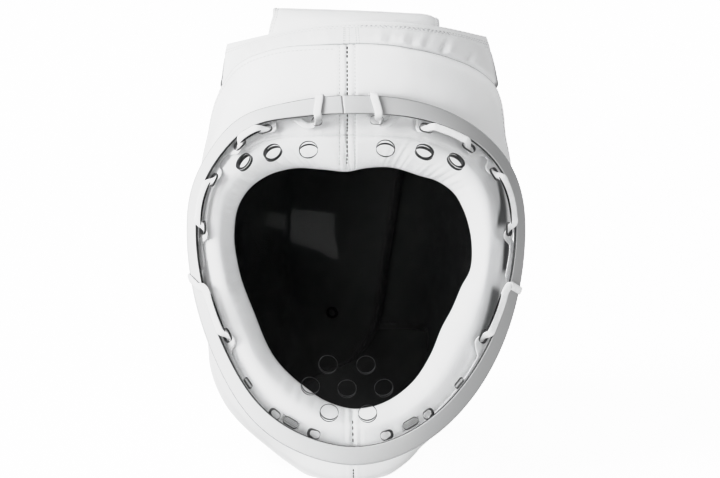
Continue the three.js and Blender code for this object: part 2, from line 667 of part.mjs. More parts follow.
/** A vent is drilled at `lean` of the bubble's own slope, and straight back where that is 0. */
function ventCutter({ x, z, lean }) {
  const step = 0.5;
  const slope = (ahead, behind) => {
    const way = bubbleAt(...ahead).sub(bubbleAt(...behind));
    return way.setY(way.y * lean);
  };
  const sideways = slope([x + step, z], [x - step, z]);
  const upwards = slope([x, z + step], [x, z - step]);
  const { ventRadius, drill, ventSides } = VISOR;
  const cylinder = new THREE.CylinderGeometry(ventRadius, ventRadius, drill, ventSides);
  return placed(cylinder.rotateX(Math.PI / 2), bubbleAt(x, z), sideways, sideways.clone().cross(upwards));
}

function slotCutter({ angle, out, along, across }) {
  const theta = rad(angle);
  const centre = onBand(theta, out, -VISOR.thickness / 2);
  const ahead = onBand(theta + 0.01, out, -VISOR.thickness / 2).sub(centre);
  const through = onBand(theta, out, 1).sub(centre);
  return placed(new THREE.BoxGeometry(along, across, VISOR.drill / 2), centre, ahead, through);
}

function visorGeometry() {
  let solid = toSolid(skin(turnSteps(HOOP_STEPS).map(visorSection), true));
  for (const cutter of [...VENTS.map(ventCutter), ...SLOTS.map(slotCutter)]) {
    solid = solid.subtract(toSolid(cutter));
  }
  return toGeometry(solid);
}

function hoopGeometry() {
  const soft = 0.6; // bevel along the hoop's four edges
  const low = HOOP_SEAT;
  const high = HOOP_SEAT + HOOP.thickness;
  const corners = [
    [0, low], [0, high - soft], [soft, high], [HOOP.width - soft, high], [HOOP.width, high - soft],
    [HOOP.width, low],
  ];
  const sectionAt = (theta) => corners.map(([out, lift]) => onBand(theta, out, lift));
  return skin(turnSteps(HOOP_STEPS).map(sectionAt), true);
}

// ---------------------------------------------------------------- lace

const UNDER = -(VISOR.thickness + 2 * GAP + LACE.thickness / 2);
const THROUGH = -VISOR.thickness / 2;
const ON = GAP + LACE.thickness / 2;
const OVER = HOOP_SEAT + HOOP.thickness + GAP + LACE.thickness / 2;
const OUTSIDE = HOOP.width + GAP + LACE.thickness / 2 + 0.3;
const HIDDEN = 4.2; // place along the band where the lace runs behind the hoop

/**
 * The lace's way round the hoop as angle, place along the band, lift off the flange, and the
 * direction that its flat side faces: 90 off the band, 0 outward, -90 under it.
 */
function laceRoute() {
  const route = [];
  const put = (angle, out, lift, roll) => route.push({ angle, out, lift, roll });
  const under = (angle, roll) => put(angle, -5.2, UNDER, roll);
  const hidden = (angle, roll) => put(angle, HIDDEN, UNDER, roll);
  const on = (angle, roll) => put(angle, -3.2, ON, roll);
  const rise = (angle, roll) => {
    hidden(angle - 5.5, roll);
    under(angle - 2.4, roll);
    put(angle, -4.4, THROUGH, roll);
    on(angle + 2.4, roll);
    on(angle + 4.5, roll);
  };
  const dive = (angle, roll) => {
    on(angle - 4.5, roll);
    on(angle - 2.4, roll);
    put(angle, -4.4, THROUGH, roll);
    under(angle + 2.4, roll);
    hidden(angle + 5.5, roll);
  };
  const run = (from, to, roll) => {
    rise(from, roll);
    dive(to, roll);
  };
  const wrap = [
    { turn: 0, out: -1.3, lift: OVER - 0.8, roll: 45 },
    { turn: 0.08, out: 1.2, lift: OVER + 0.15, roll: 0 },
    { turn: 0.5, out: HOOP.width / 2, lift: OVER + 0.15, roll: 0 },
    { turn: 0.92, out: HOOP.width - 1.2, lift: OVER + 0.15, roll: 0 },
    { turn: 1, out: HOOP.width + 1.2, lift: OVER - 0.8, roll: -45 },
    { turn: 1, beyond: 0.3, out: OUTSIDE, lift: HOOP.thickness / 2, roll: -90 },
    { turn: 1, beyond: 0.7, out: HOOP.width + 0.9, lift: -2.4, roll: -135 },
    { turn: 1, beyond: 2, out: HOOP.width - 3, lift: UNDER - 0.4, roll: -180 },
    { turn: 1, beyond: 4, out: HIDDEN, lift: UNDER, roll: -180 },
    { turn: 1, beyond: 6.5, out: HIDDEN, lift: UNDER, roll: -180 },
  ];
  const cross = (inner, outer, roll, sense) => {
    for (const row of sense > 0 ? wrap : [...wrap].reverse()) {
      const angle = inner + (outer - inner) * row.turn + sense * (row.beyond ?? 0);
      put(angle, row.out, row.lift, roll + row.roll);
    }
  };
  const overOut = (inner, outer, roll) => cross(inner, outer, roll, 1);
  const overIn = (outer, inner, roll) => cross(inner, outer, roll, -1);
  rise(-40, 90);
  on(-26, 90);
  on(-22.5, 90);
  overOut(-20, -20.6, 90);
  run(0, 21.6, -90);
  run(36, 55, -90);
  hidden(69, -90);
  under(73.4, -90);
  under(75.8, -90);
  put(78.4, -3.2, THROUGH, -180);
  overOut(78.8, 82.3, -270);
  overIn(105.4, 108.6, -270);
  put(109.4, -3.2, THROUGH, -180);
  under(113, -90);
  under(115.6, -90);
  hidden(120, -90);
  run(132.5, 144, -90);
  run(161, 179.5, -90);
  overIn(196.3, 200.6, 90);
  on(203, 90);
  dive(219.5, 90);
  return route;
}

function laceGeometry() {
  const route = laceRoute();
  const first = { ...route[0], angle: route[0].angle + 360 };
  const rows = [];
  let way = 0;
  let last = null;
  for (const station of [...route, first]) {
    const here = onBand(rad(station.angle), station.out, station.lift);
    if (last) way += here.distanceTo(last);
    rows.push({ ...station, way });
    last = here;
  }
  const at = (distance) => lookup(rows, 'way', distance);
  const place = ({ angle, out, lift }) => onBand(rad(angle), out, lift);
  const loops = [];
  const longStep = 9;
  for (let i = 0; i < rows.length - 1; i += 1) {
    const length = rows[i + 1].way - rows[i].way;
    const parts = Math.max(1, Math.round(length / longStep));
    for (let k = 0; k < parts; k += 1) {
      const distance = rows[i].way + (length * k) / parts;
      const state = at(distance);
      const here = place(state);
      const ahead = place(at(Math.min(distance + 0.4, way))).sub(place(at(Math.max(distance - 0.4, 0))));
      const tangent = ahead.normalize();
      const off = place({ ...state, lift: state.lift + 1 }).sub(here);
      const out = place({ ...state, out: state.out + 1 }).sub(here);
      const roll = rad(state.roll);
      const facing = out.multiplyScalar(Math.cos(roll)).addScaledVector(off, Math.sin(roll));
      facing.addScaledVector(tangent, -facing.dot(tangent)).normalize();
      const across = tangent.clone().cross(facing);
      loops.push(turnSteps(LACE.sides).map((phase) => here.clone()
        .addScaledVector(across, LACE.width / 2 * Math.cos(phase + Math.PI / LACE.sides))
        .addScaledVector(facing, LACE.thickness / 2 * Math.sin(phase + Math.PI / LACE.sides))));
    }
  }
  return skin(loops, true);
}

// ---------------------------------------------------------------- assembly

const face = new THREE.Group();

function add(name, geometry, look) {
  const mesh = new THREE.Mesh(geometry, look);
  mesh.name = name;
  face.add(mesh);
}

const leather = material(0xf2f2f0, 0.5);
const lining = material(0x101011, 0.75);
const plastic = material(0xe9e9e7, 0.35);
const clear = material(0xdfe4e6, 0.05, { transparent: true, opacity: 0.25 });
const cotton = material(0xf4f4f2, 0.85);
const metal = material(0x2a2a2c, 0.35, { metalness: 1 });

add('shell', shellGeometry(), leather);
add('shell_lining', shellLiningGeometry(), lining);
const leftWing = wingPanel('left');
const rightWing = wingPanel('right');
add('wing_left', withEyeletHole(behindSeam(leftWing.body)), leather);
add('wing_left_lining', withEyeletHole(behindSeam(leftWing.lining)), lining);
add('wing_right', behindSeam(rightWing.body), leather);
add('wing_right_lining', behindSeam(rightWing.lining), lining);
add('vent_eyelet', eyeletGeometry(), metal);
const band = bandPanel();
add('neck_band', band.body, leather);
add('neck_band_lining', band.lining, lining);
add('crown_collar', collarGeometry(), leather);
add('crown_flap', flapGeometry(), leather);
add('visor', visorGeometry(), clear);
add('hoop', hoopGeometry(), plastic);
add('lace', laceGeometry(), cotton);

face.rotation.x = -LEAN;
const helmet = new THREE.Group();
helmet.add(face);
helmet.updateMatrixWorld(true);
const box = new THREE.Box3().setFromObject(face, true);
face.position.set(-(box.min.x + box.max.x) / 2, -(box.min.y + box.max.y) / 2, -box.min.z);

export default helmet;
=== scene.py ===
# A padded kudo head guard with a clear bubble visor. The soft pieces are modelled again at full
# detail in the CAD's face frame: x to the wearer's left, depth back from the face plane and z up
# along it, in millimetres. The hood leans back by LEAN, as it stands on its neck rim.
import math
import bpy
import numpy as np
from mathutils import Matrix, Vector, noise
from mathutils.bvhtree import BVHTree


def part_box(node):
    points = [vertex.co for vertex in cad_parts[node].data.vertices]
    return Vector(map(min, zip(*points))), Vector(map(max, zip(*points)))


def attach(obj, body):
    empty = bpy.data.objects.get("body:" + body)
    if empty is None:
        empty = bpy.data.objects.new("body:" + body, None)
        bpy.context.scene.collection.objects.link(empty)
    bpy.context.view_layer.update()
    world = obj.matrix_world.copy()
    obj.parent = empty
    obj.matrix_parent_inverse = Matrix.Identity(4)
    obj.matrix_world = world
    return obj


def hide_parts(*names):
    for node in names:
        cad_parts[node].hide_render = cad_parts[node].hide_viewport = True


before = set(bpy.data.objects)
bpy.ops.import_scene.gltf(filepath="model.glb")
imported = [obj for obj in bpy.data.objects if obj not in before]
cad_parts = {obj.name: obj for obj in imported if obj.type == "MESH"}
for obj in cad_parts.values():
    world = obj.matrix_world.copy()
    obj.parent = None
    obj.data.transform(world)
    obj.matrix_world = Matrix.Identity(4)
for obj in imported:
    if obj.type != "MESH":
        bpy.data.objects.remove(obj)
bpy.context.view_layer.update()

# ---------------------------------------------------------------- sizes shared with the CAD

LEAN = math.radians(12)
FLOOR_DROP = 143.5
GAP = 0.3
HOOP_SEAT = 0.6
BEVEL = 0.6
AXIS_Z = 34
SEAM_DEPTH = 85
WALL = 18
EDGE_WALL = 5
WING_END_WALL = 7
LINING = 1.6
LINING_GAP = 0.45
LEATHER = 1.8
HOOP = dict(half_width=107.8, above=78.2, below=147.5, square_above=2.35, square_below=1.9,
            width=12.6, thickness=2.6, tilt_top=8, tilt_side=60, tilt_chin=12)
SEAT = dict(side=18, ends=5)
VISOR = dict(thickness=2.5, height=52, flange=10.8, flange_right=4.5, under_hoop=8.5,
             vent_radius=6.3, full_top=2.4, full_chin=2, steep_top=0.62, steep_chin=0.95)
LACE = dict(width=5.4, thickness=1.8)
LACE_SPACE = LACE["thickness"] + VISOR["thickness"] + 8 * GAP


def rows(names, *values):
    """A short table: one dict per row, with the named columns."""
    return [dict(zip(names.split(), row)) for row in values]


# The face opening's edge, with the CAD's points. They aren't read by hand: a scratch script traced the
# edge in the photo every 10 degrees, and its points were thinned and rounded.
OPENING = rows(
    "x z", (80, 22), (78, 36), (74, 48), (67.5, 59), (56.5, 67), (42, 71.5), (24.5, 76.5), (8, 76.3),
    (-7, 73.6), (-24, 75.2), (-46, 75.5), (-61, 71), (-74, 61.5), (-81.5, 49), (-84, 31), (-80.5, 5),
    (-70, -24), (-54, -57), (-38, -72.5), (-20, -84.5), (0, -89.5), (20, -84.8), (38.5, -71.4),
    (50.6, -53.6), (58.5, -35), (66.5, -20), (72.5, -6), (78.7, 6))
LEVELS = rows(
    "z left right back", (131, 97.8, 101.2, 186), (96, 106.7, 107.2, 207), (40, 111, 111, 222),
    (0, 109.5, 107, 222), (-40, 105.7, 101, 214), (-67, 103, 88, 206), (-93, 90.8, 71, 200),
    (-120, 63, 46, 196))
CROWN_EDGE = rows(
    "x depth z facing", (-84.2, 56, 149.2, 62), (-64, 38, 157.9, 42), (-30.7, 25, 161.9, 30),
    (-6.2, 22, 162.4, 26), (34.4, 25, 160.2, 30), (67.3, 38, 153, 42), (89.6, 56, 143.5, 62))
CHIN_EDGE = rows(
    "x depth z facing", (37, 66, -129, 76), (21, 45, -138.5, 66), (-4, 36, -143.5, 60),
    (-32, 45, -138.5, 66), (-50, 66, -129, 76))
HEM_FRONT = rows(
    "x depth z", (-92.8, 95, 166.1), (-61.9, 62, 170.4), (-37, 50, 175), (-12.4, 44, 177.2),
    (5.5, 43, 178.2), (30.7, 46, 177.7), (58.7, 57, 175.5), (93.4, 93, 171.2))
HEM_BACK = rows(
    "x depth z", (93.4, 93, 171.2), (60, 136, 168), (0, 158, 168), (-60, 137, 166), (-92.8, 95, 166.1))
COLLAR = dict(tuck=7, tuck_front=13, tuck_back=8.3, over=0.8, bulge=2.5, bulge_left=0.5, bulge_right=2.7,
              flush=5.2, hem=3)
LEFT_EDGE = rows("z x", (131, 49), (75, 40), (11, 29.5), (-39, 21), (-54, 14), (-66, 0), (-76, -19),
                 (-120, -38))
LEFT_BOTTOM = rows("along z", (0, -119), (0.3, -107), (0.6, -100), (0.85, -84), (1, -73))
RIGHT_BOTTOM = rows("along z", (0, -119), (0.2, -110), (0.32, -82), (0.42, -50), (0.5, -42.5),
                    (0.7, -42), (1, -42))
WINGS = dict(behind=6, right_sweep=118, thin_from=0.3, thin_to=0.65, crown_from=0.84, dive_from=0.13,
             dive_to=0.46)
FLAP = dict(half_width=59.5, thickness=3, slope=0.045, flare=3.6, droop=3.6, hem_follow=1.12)
FLAP_PATH = rows(
    "x depth z", (0, 41, 150), (0, 47.5, 177), (0, 60, 186), (0, 88, 190), (0, 118, 188),
    (0, 144, 182.5), (0, 163, 174.5), (0, 174, 157), (0, 187, 139), (0, 193, 128), (0, 208.6, 104),
    (0, 217.4, 84))
BAND = dict(thickness=8, top=-26, start=48, end=132, below=2)
VENTS = rows(
    "x z lean", (-31.8, 86.6, 0.3), (-56, 85.3, 0.75), (-75.8, 79.4, 1), (19.8, 87.4, 0.3),
    (46, 85.6, 0.75), (67.6, 79.7, 1), (-18.7, -56.7, 0.3), (6.7, -57, 0.3), (-30.7, -71.7, 0.3),
    (-6, -73.4, 0.3), (18.7, -73, 0.3), (-18.2, -90.3, 0.3), (7.9, -90.8, 0.3))
SWELLS = rows("height at width", (4.2, 136, 13), (3.6, 243, 16))
SLOTS = rows(
    "angle out along across", (110, -3.6, 7, 6.4), (79.2, -3.6, 9, 6.4),
    *[(angle, -4.4, 9.6, 7) for angle in (132.5, 144, 161, 179.5, 219.5, -40, 0, 21.6, 36, 55)],
    (235, -1.5, 8, 3.4), (303.8, -1.5, 8, 3.4), (246.2, -0.8, 8.5, 6.6), (291.4, -1.8, 8, 6.4),
    (251.3, -2.6, 11, 5.8), (285.7, -3.6, 11, 5.8), (258.3, -2.4, 9, 6.4), (278.5, -3.2, 9, 6.4))
EYELET = dict(x=-24.3, z=-33, hole=2.4, barrel=3.2, rim=4.6, lip=0.9)
LIP = dict(nose=13, front=4, rear=23, roll=5, roll_rear=6, swell=0.12, flat=18)
CREST = dict(lift=3, near=0.85, near_lift=1, round=2, hollow=4)
SEAT_EDGES = dict(inner=-5, outer=HOOP["width"] - 1, side_gap=7)

# ---------------------------------------------------------------- helpers

UP = np.array([0.0, 0.0, 1.0])
HOOD_MIDDLE = np.array([0, 110, 30])


def smooth(start, end, at):
    """Smoothstep, upwards from start to end."""
    t = np.clip((np.asarray(at, float) - start) / (end - start), 0, 1)
    return t * t * (3 - 2 * t)


def mix(a, b, t):
    return a + (b - a) * t


def unit(v):
    return v / np.maximum(np.linalg.norm(v, axis=-1, keepdims=True), 1e-12)


def bell(distance, width):
    return np.exp(-(distance / width) ** 2)


def round_angles(count):
    """Angles of `count` even steps round a circle."""
    return np.arange(count) * math.tau / count


def pair(first, second):
    return np.stack([first, second], axis=-1)


def wrap(outer, *others):
    """Closed sections from an outer side, what is at its end, and an inner side turned back."""
    return np.concatenate([outer, *others[:-1], others[-1][:, ::-1]], axis=1)


def between(start, full, waning, end, at):
    """Rises from start to full and falls again from waning to end."""
    return smooth(start, full, at) * (1 - smooth(waning, end, at))


def xyz(x, depth, z):
    return np.stack(np.broadcast_arrays(x, depth, z), axis=-1).astype(float)


def lookup(table, key, at):
    """Smooth interpolation of a table's columns over its key column."""
    table = sorted(table, key=lambda row: row[key])
    keys = np.array([row[key] for row in table], float)
    last = len(keys) - 1
    at = np.asarray(at, float)
    i = np.clip(np.searchsorted(keys, at, side="left") - 1, 0, last - 1)
    before, after = np.maximum(i - 1, 0), np.minimum(i + 2, last)
    span = keys[i + 1] - keys[i]
    t = np.clip((at - keys[i]) / span, 0, 1)
    out = {}
    for name in table[0]:
        v = np.array([row[name] for row in table], float)
        slope_near = (v[i + 1] - v[before]) / (keys[i + 1] - keys[before]) * span
        slope_far = (v[after] - v[i]) / (keys[after] - keys[i]) * span
        out[name] = (v[i] * (2 * t**3 - 3 * t**2 + 1) + slope_near * (t**3 - 2 * t**2 + t)
                     + v[i + 1] * (3 * t**2 - 2 * t**3) + slope_far * (t**3 - t**2))
    return out


def ring_table(table):
    """A closed ring about the axis, smoothly interpolated by angle from rows with x and z."""
    named = [dict(row, angle=math.atan2(row["z"] - AXIS_Z, row["x"]),
                  radius=math.hypot(row["x"], row["z"] - AXIS_Z)) for row in table]
    wrapped = [dict(row, angle=row["angle"] + turn)
               for turn in (-math.tau, 0, math.tau) for row in named]
    return lambda theta: lookup(wrapped, "angle", np.arctan2(np.sin(theta), np.cos(theta)))


def spans(p0, p1, p2, p3, per):
    """Centripetal Catmull-Rom spans from p1 to p2, each in `per` steps."""
    def way(a, b):
        return np.maximum(((a - b) ** 2).sum(-1, keepdims=True), 1e-12) ** 0.25
    d0, d1, d2 = way(p0, p1), way(p1, p2), way(p2, p3)
    m1 = ((p1 - p0) / d0 - (p2 - p0) / (d0 + d1) + (p2 - p1) / d1) * d1
    m2 = ((p2 - p1) / d1 - (p3 - p1) / (d1 + d2) + (p3 - p2) / d2) * d1
    w = (np.arange(per) / per)[:, None]
    c = [v[..., None, :] for v in (p1, m1, -3 * p1 + 3 * p2 - 2 * m1 - m2, 2 * p1 - 2 * p2 + m1 + m2)]
    out = c[0] + c[1] * w + c[2] * w**2 + c[3] * w**3
    return out.reshape(*out.shape[:-3], -1, out.shape[-1])


def closed_curve(p, per):
    """p holds rows of control points of closed curves: (..., points, dimensions)."""
    return spans(np.roll(p, 1, -2), p, np.roll(p, -1, -2), np.roll(p, -2, -2), per)


def open_curve(p, per):
    first, last = 2 * p[..., :1, :] - p[..., 1:2, :], 2 * p[..., -1:, :] - p[..., -2:-1, :]
    q = np.concatenate([first, p, last], axis=-2)
    body = spans(q[..., :-3, :], q[..., 1:-2, :], q[..., 2:-1, :], q[..., 3:, :], per)
    return np.concatenate([body, p[..., -1:, :]], axis=-2)


def lengths(p):
    """Length along the first axis, from its start to each point."""
    steps = np.linalg.norm(np.diff(p, axis=0), axis=-1)
    return np.concatenate([0 * steps[:1], np.cumsum(steps, axis=0)])


def at_lengths(values, way, at):
    """Vectors given at lengths `way`, read at lengths `at`."""
    return np.stack([np.interp(at, way, values[:, k]) for k in range(3)], axis=-1)


def along(p, u):
    """Points at shares u of a polyline's length."""
    way = lengths(p)
    return at_lengths(p, way, np.asarray(u, float) * way[-1])


def curve_through(table):
    dense = open_curve(np.array([[row["x"], row["depth"], row["z"]] for row in table], float), 40)
    return lambda u: along(dense, u)


def floor_at(depth):
    """Height of the floor in the face frame at a given depth."""
    return (-FLOOR_DROP + depth * math.sin(LEAN)) / math.cos(LEAN)


def rest(p):
    """Points that would reach below the floor rest on it."""
    p = p.copy()
    p[..., 2] = np.maximum(p[..., 2], floor_at(p[..., 1]))
    return p


def rough(p, size, seed=0.0):
    """Soft noise from -1 to 1 with the given feature size in millimetres."""
    flat = p.reshape(-1, 3) / size + seed
    return np.array([noise.noise(q) for q in flat]).reshape(p.shape[:-1])


def grid_normals(g, closed_u=False, closed_v=True):
    """Unit normals of a grid of points; their side is set by the caller."""
    def slope(axis, closed):
        if closed:
            return np.roll(g, -1, axis) - np.roll(g, 1, axis)
        return np.gradient(g, axis=axis)
    return unit(np.cross(slope(0, closed_u), slope(1, closed_v)))


# ---------------------------------------------------------------- making pieces

turn_face = np.array([[1, 0, 0], [0, math.cos(LEAN), math.sin(LEAN)],
                      [0, -math.sin(LEAN), math.cos(LEAN)]])
shift = np.zeros(3)


def to_world(p):
    return (np.asarray(p, float).reshape(-1, 3) @ turn_face.T) / 1000 + shift


def tidy(name, points, faces, material, uv=None):
    """A smooth mesh from points in the face frame and rows of corner numbers."""
    mesh = bpy.data.meshes.new(name)
    mesh.from_pydata(to_world(points).tolist(), [], [list(map(int, f)) for f in faces])
    mesh.polygons.foreach_set("use_smooth", [True] * len(mesh.polygons))
    if uv is not None:
        layer = mesh.uv_layers.new(name="along")
        corners = np.zeros(len(mesh.loops), int)
        mesh.loops.foreach_get("vertex_index", corners)
        layer.data.foreach_set("uv", np.asarray(uv, float)[corners].ravel())
    mesh.materials.append(material)
    mesh.update()
    piece = bpy.data.objects.new(name, mesh)
    bpy.context.scene.collection.objects.link(piece)
    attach(piece, "root")
    return piece


def volume(points, faces):
    corners = np.array([(f[0], f[i], f[i + 1]) for f in faces for i in range(1, len(f) - 1)])
    a, b, c = points[corners].transpose(1, 0, 2)
    return (a * np.cross(b, c)).sum()


def facing_out(points, faces):
    """Faces turned over where they enclose a negative volume."""
    return faces if volume(points, faces) >= 0 else [f[::-1] for f in faces]


def grid_faces(nu, nv, closed_u, closed_v):
    u = np.arange(nu if closed_u else nu - 1)
    v = np.arange(nv if closed_v else nv - 1)
    i, j = np.meshgrid(u, v, indexing="ij")
    i2, j2 = (i + 1) % nu, (j + 1) % nv
    return np.stack([i * nv + j, i * nv + j2, i2 * nv + j2, i2 * nv + j], -1).reshape(-1, 4)


def tube_faces(count, sides, closed):
    """Faces of a row of sections, with flat ends unless the row is closed."""
    faces = grid_faces(count, sides, closed, True).tolist()
    if not closed:
        last = (count - 1) * sides
        faces += [list(range(sides))[::-1], [last + i for i in range(sides)]]
    return faces


def loft(name, loops, material, closed=False, uv=None):
    """Skins a row of closed loops, (loops, points, 3). An open row gets strip ends."""
    nu, nv = loops.shape[:2]
    faces = list(grid_faces(nu, nv, closed, True))
    if not closed:
        for base, flip in ((0, True), ((nu - 1) * nv, False)):
            for j in range(nv // 2 - 1):
                cell = [base + k for k in (j, j + 1, nv - 2 - j, nv - 1 - j)]
                faces.append(cell[::-1] if flip else cell)
    points = loops.reshape(-1, 3)
    return tidy(name, points, facing_out(points, faces), material, uv)


def skins(name, bodies, material, closed=False):
    """One piece of many small bodies, each a row of sections: (sections, points, 3)."""
    points, faces = [], []
    for body in bodies:
        own = body.reshape(-1, 3)
        shape = facing_out(own, tube_faces(*body.shape[:2], closed))
        faces += [[len(points) + i for i in f] for f in shape]
        points += own.tolist()
    return tidy(name, np.array(points), faces, material)


# ---------------------------------------------------------------- the hoop's line


def hoop_radius(theta):
    up = np.sin(theta) > 0
    height = np.where(up, HOOP["above"], HOOP["below"])
    square = np.where(up, HOOP["square_above"], HOOP["square_below"])
    radius = (np.abs(np.cos(theta) / HOOP["half_width"]) ** square
              + np.abs(np.sin(theta) / height) ** square) ** (-1 / square)
    for row in SWELLS:
        away = theta - math.radians(row["at"])
        away = np.degrees(np.arctan2(np.sin(away), np.cos(away)))
        radius = radius + row["height"] * bell(away, row["width"])
    return radius


def hoop_tilt(theta):
    end = np.where(np.sin(theta) > 0, HOOP["tilt_top"], HOOP["tilt_chin"])
    return np.radians(end + (HOOP["tilt_side"] - end) * np.abs(np.cos(theta)) ** 1.5)


def on_band(theta, offset, height):
    """A point outward from the hoop's inner edge by offset, and off the flange by height."""
    radius = hoop_radius(theta)
    x = radius * np.cos(theta)
    z = AXIS_Z + radius * np.sin(theta)
    depth = SEAT["side"] * (x / HOOP["half_width"]) ** 2 + SEAT["ends"] * (z / 112) ** 2
    tilt = hoop_tilt(theta)
    outward = offset * np.cos(tilt) + height * np.sin(tilt)
    back = offset * np.sin(tilt) - height * np.cos(tilt)
    return xyz(x + outward * np.cos(theta), depth + back, z + outward * np.sin(theta))


def band_profile(theta, offset, height):
    """The same point as distance from the axis and depth."""
    p = on_band(theta, offset, height)
    return pair(np.hypot(p[..., 0], p[..., 2] - AXIS_Z), p[..., 1])


def spoke(theta, profile):
    """Points at (distance from the axis, depth) along spokes."""
    r, depth = profile[..., 0], profile[..., 1]
    return xyz(r * np.cos(theta), depth, AXIS_Z + r * np.sin(theta))


# The hoop's points in the CAD give the face frame's place in the world.
cad_spokes = round_angles(60)
cad_top = HOOP_SEAT + HOOP["thickness"]
cad_corners = [(0, HOOP_SEAT), (0, cad_top - BEVEL), (BEVEL, cad_top), (HOOP["width"] - BEVEL, cad_top),
               (HOOP["width"], cad_top - BEVEL), (HOOP["width"], HOOP_SEAT)]
cad_hoop = np.concatenate([on_band(cad_spokes, out, lift) for out, lift in cad_corners])
hoop_low, hoop_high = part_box("hoop")
turned = to_world(cad_hoop)
shift = (np.array(hoop_low) + np.array(hoop_high) - turned.min(0) - turned.max(0)) / 2

# ---------------------------------------------------------------- materials


class Nodes:
    """A material's nodes, made and linked by name."""

    def __init__(self, name):
        self.material = bpy.data.materials.new(name)
        self.material.use_nodes = True
        self.tree = self.material.node_tree
        self.tree.nodes.clear()
        self.output = self.tree.nodes.new("ShaderNodeOutputMaterial")
        self.shader = self.tree.nodes.new("ShaderNodeBsdfPrincipled")
        self.link(self.shader.outputs[0], self.output.inputs["Surface"])
        self.place = self.tree.nodes.new("ShaderNodeTexCoord")

    def link(self, a, b):
        self.tree.links.new(a, b)

    def node(self, kind, inputs=(), **settings):
        made = self.tree.nodes.new("ShaderNode" + kind)
        for key, value in settings.items():
            setattr(made, key, value)
        for key, value in dict(inputs).items():
            if isinstance(value, bpy.types.NodeSocket):
                self.link(value, made.inputs[key])
            else:
                made.inputs[key].default_value = value
        return made

    def noise(self, scale, detail=2.0, rough=0.5, source="Object", vector=None):
        vector = vector or self.place.outputs[source]
        return self.node("TexNoise", {"Vector": vector, "Scale": scale, "Detail": detail,
                                      "Roughness": rough}).outputs["Fac"]

    def ramp(self, value, low, high, out_low, out_high):
        return self.node("MapRange", {"Value": value, "From Min": low, "From Max": high,
                                      "To Min": out_low, "To Max": out_high}).outputs["Result"]

    def blend(self, value, first, second):
        made = self.node("Mix", {"Factor": value}, data_type="RGBA")
        made.inputs["A"].default_value = (*first, 1)
        made.inputs["B"].default_value = (*second, 1)
        return made.outputs["Result"]

    def mottled(self, scale, detail, first, second, spread=0.2):
        """A tone that wanders between two colours."""
        share = self.ramp(self.noise(scale, detail), 0.5 - spread, 0.5 + spread, 0, 1)
        return self.blend(share, first, second)

    def gloss(self, scale, detail, low, high):
        return self.ramp(self.noise(scale, detail), 0.3, 0.7, low, high)

    def bump(self, height, distance, strength=1.0, normal=None):
        made = self.node("Bump", {"Height": height, "Distance": distance, "Strength": strength})
        if normal is not None:
            self.link(normal, made.inputs["Normal"])
        return made.outputs["Normal"]

    def finish(self, **sockets):
        for key, value in sockets.items():
            name = key.replace("_", " ")
            target = self.shader.inputs[name]
            if isinstance(value, bpy.types.NodeSocket):
                self.link(value, target)
            else:
                target.default_value = value
        return self.material


def grain(n, cell, distance, fine):
    """Leather grain: small pebbles with fine creases between them, and a soft unevenness."""
    cells = n.node("TexVoronoi", {"Vector": n.place.outputs["Object"], "Scale": 1 / cell},
                   feature="DISTANCE_TO_EDGE")
    pebbles = n.ramp(cells.outputs["Distance"], 0.0, 0.25, 0.0, 1.0)
    first = n.bump(pebbles, distance)
    return n.bump(n.noise(1 / (6 * cell), 3), fine, normal=first)


def make_leather():
    n = Nodes("white_leather")
    tone = n.mottled(14, 3, (0.845, 0.850, 0.855), (0.875, 0.878, 0.880), 0.15)
    # painted shade: a point attribute on the shell mixes the leather towards near black where shade falls
    # under the visor's flange
    shade = n.node("Attribute", attribute_name="shade").outputs["Fac"]
    shaded = n.node("Mix", {"Factor": shade}, data_type="RGBA")
    n.link(tone, shaded.inputs["A"])
    shaded.inputs["B"].default_value = (0.085, 0.087, 0.09, 1)
    return n.finish(Base_Color=shaded.outputs["Result"], Roughness=n.gloss(60, 3, 0.38, 0.5),
                    Normal=grain(n, 0.0011, 0.00003, 0.00012), Specular_IOR_Level=0.4)


def make_lining():
    n = Nodes("black_lining")
    tone = n.mottled(20, 3, (0.011, 0.0115, 0.012), (0.018, 0.0185, 0.0185), 0.15)
    return n.finish(Base_Color=tone, Roughness=n.gloss(90, 2, 0.55, 0.7),
                    Normal=grain(n, 0.0012, 0.00005, 0.0002), Specular_IOR_Level=0.25)


def plain(name, tone, roughness, height, specular):
    """A plain material: a mottled tone, and a fine bump of (scale, height)."""
    n = Nodes(name)
    return n.finish(Base_Color=n.mottled(*tone), Specular_IOR_Level=specular,
                    Roughness=n.gloss(*roughness) if isinstance(roughness, tuple) else roughness,
                    Normal=n.bump(n.noise(height[0], 2), height[1]))


def make_clear():
    n = Nodes("clear_visor")
    tone = n.blend(n.noise(6, 1), (0.994, 0.996, 0.998), (0.998, 0.999, 1.0))
    return n.finish(Base_Color=tone, Roughness=0.0, IOR=1.15, Transmission_Weight=1.0,
                    Normal=n.bump(n.noise(9, 1), 0.0002))


def make_cotton():
    n = Nodes("lace_cotton")
    wave = n.node("TexWave", {"Vector": n.place.outputs["UV"], "Scale": 1.0, "Distortion": 0.0},
                  wave_type="BANDS", bands_direction="DIAGONAL")
    tone = n.mottled(300, 2, (0.84, 0.845, 0.85), (0.90, 0.902, 0.905))
    fibre = n.bump(n.noise(2500, 2), 0.00008)
    braid = n.bump(wave.outputs["Fac"], 0.00012, normal=fibre)
    return n.finish(Base_Color=tone, Roughness=0.85, Normal=braid, Sheen_Weight=0.2, Specular_IOR_Level=0.2)


def make_thread(name, base, rim):
    n = Nodes(name)
    tone = n.blend(n.noise(900, 2), base, rim)
    return n.finish(Base_Color=tone, Roughness=0.7, Normal=n.bump(n.noise(4000, 2), 0.00004),
                    Specular_IOR_Level=0.25)


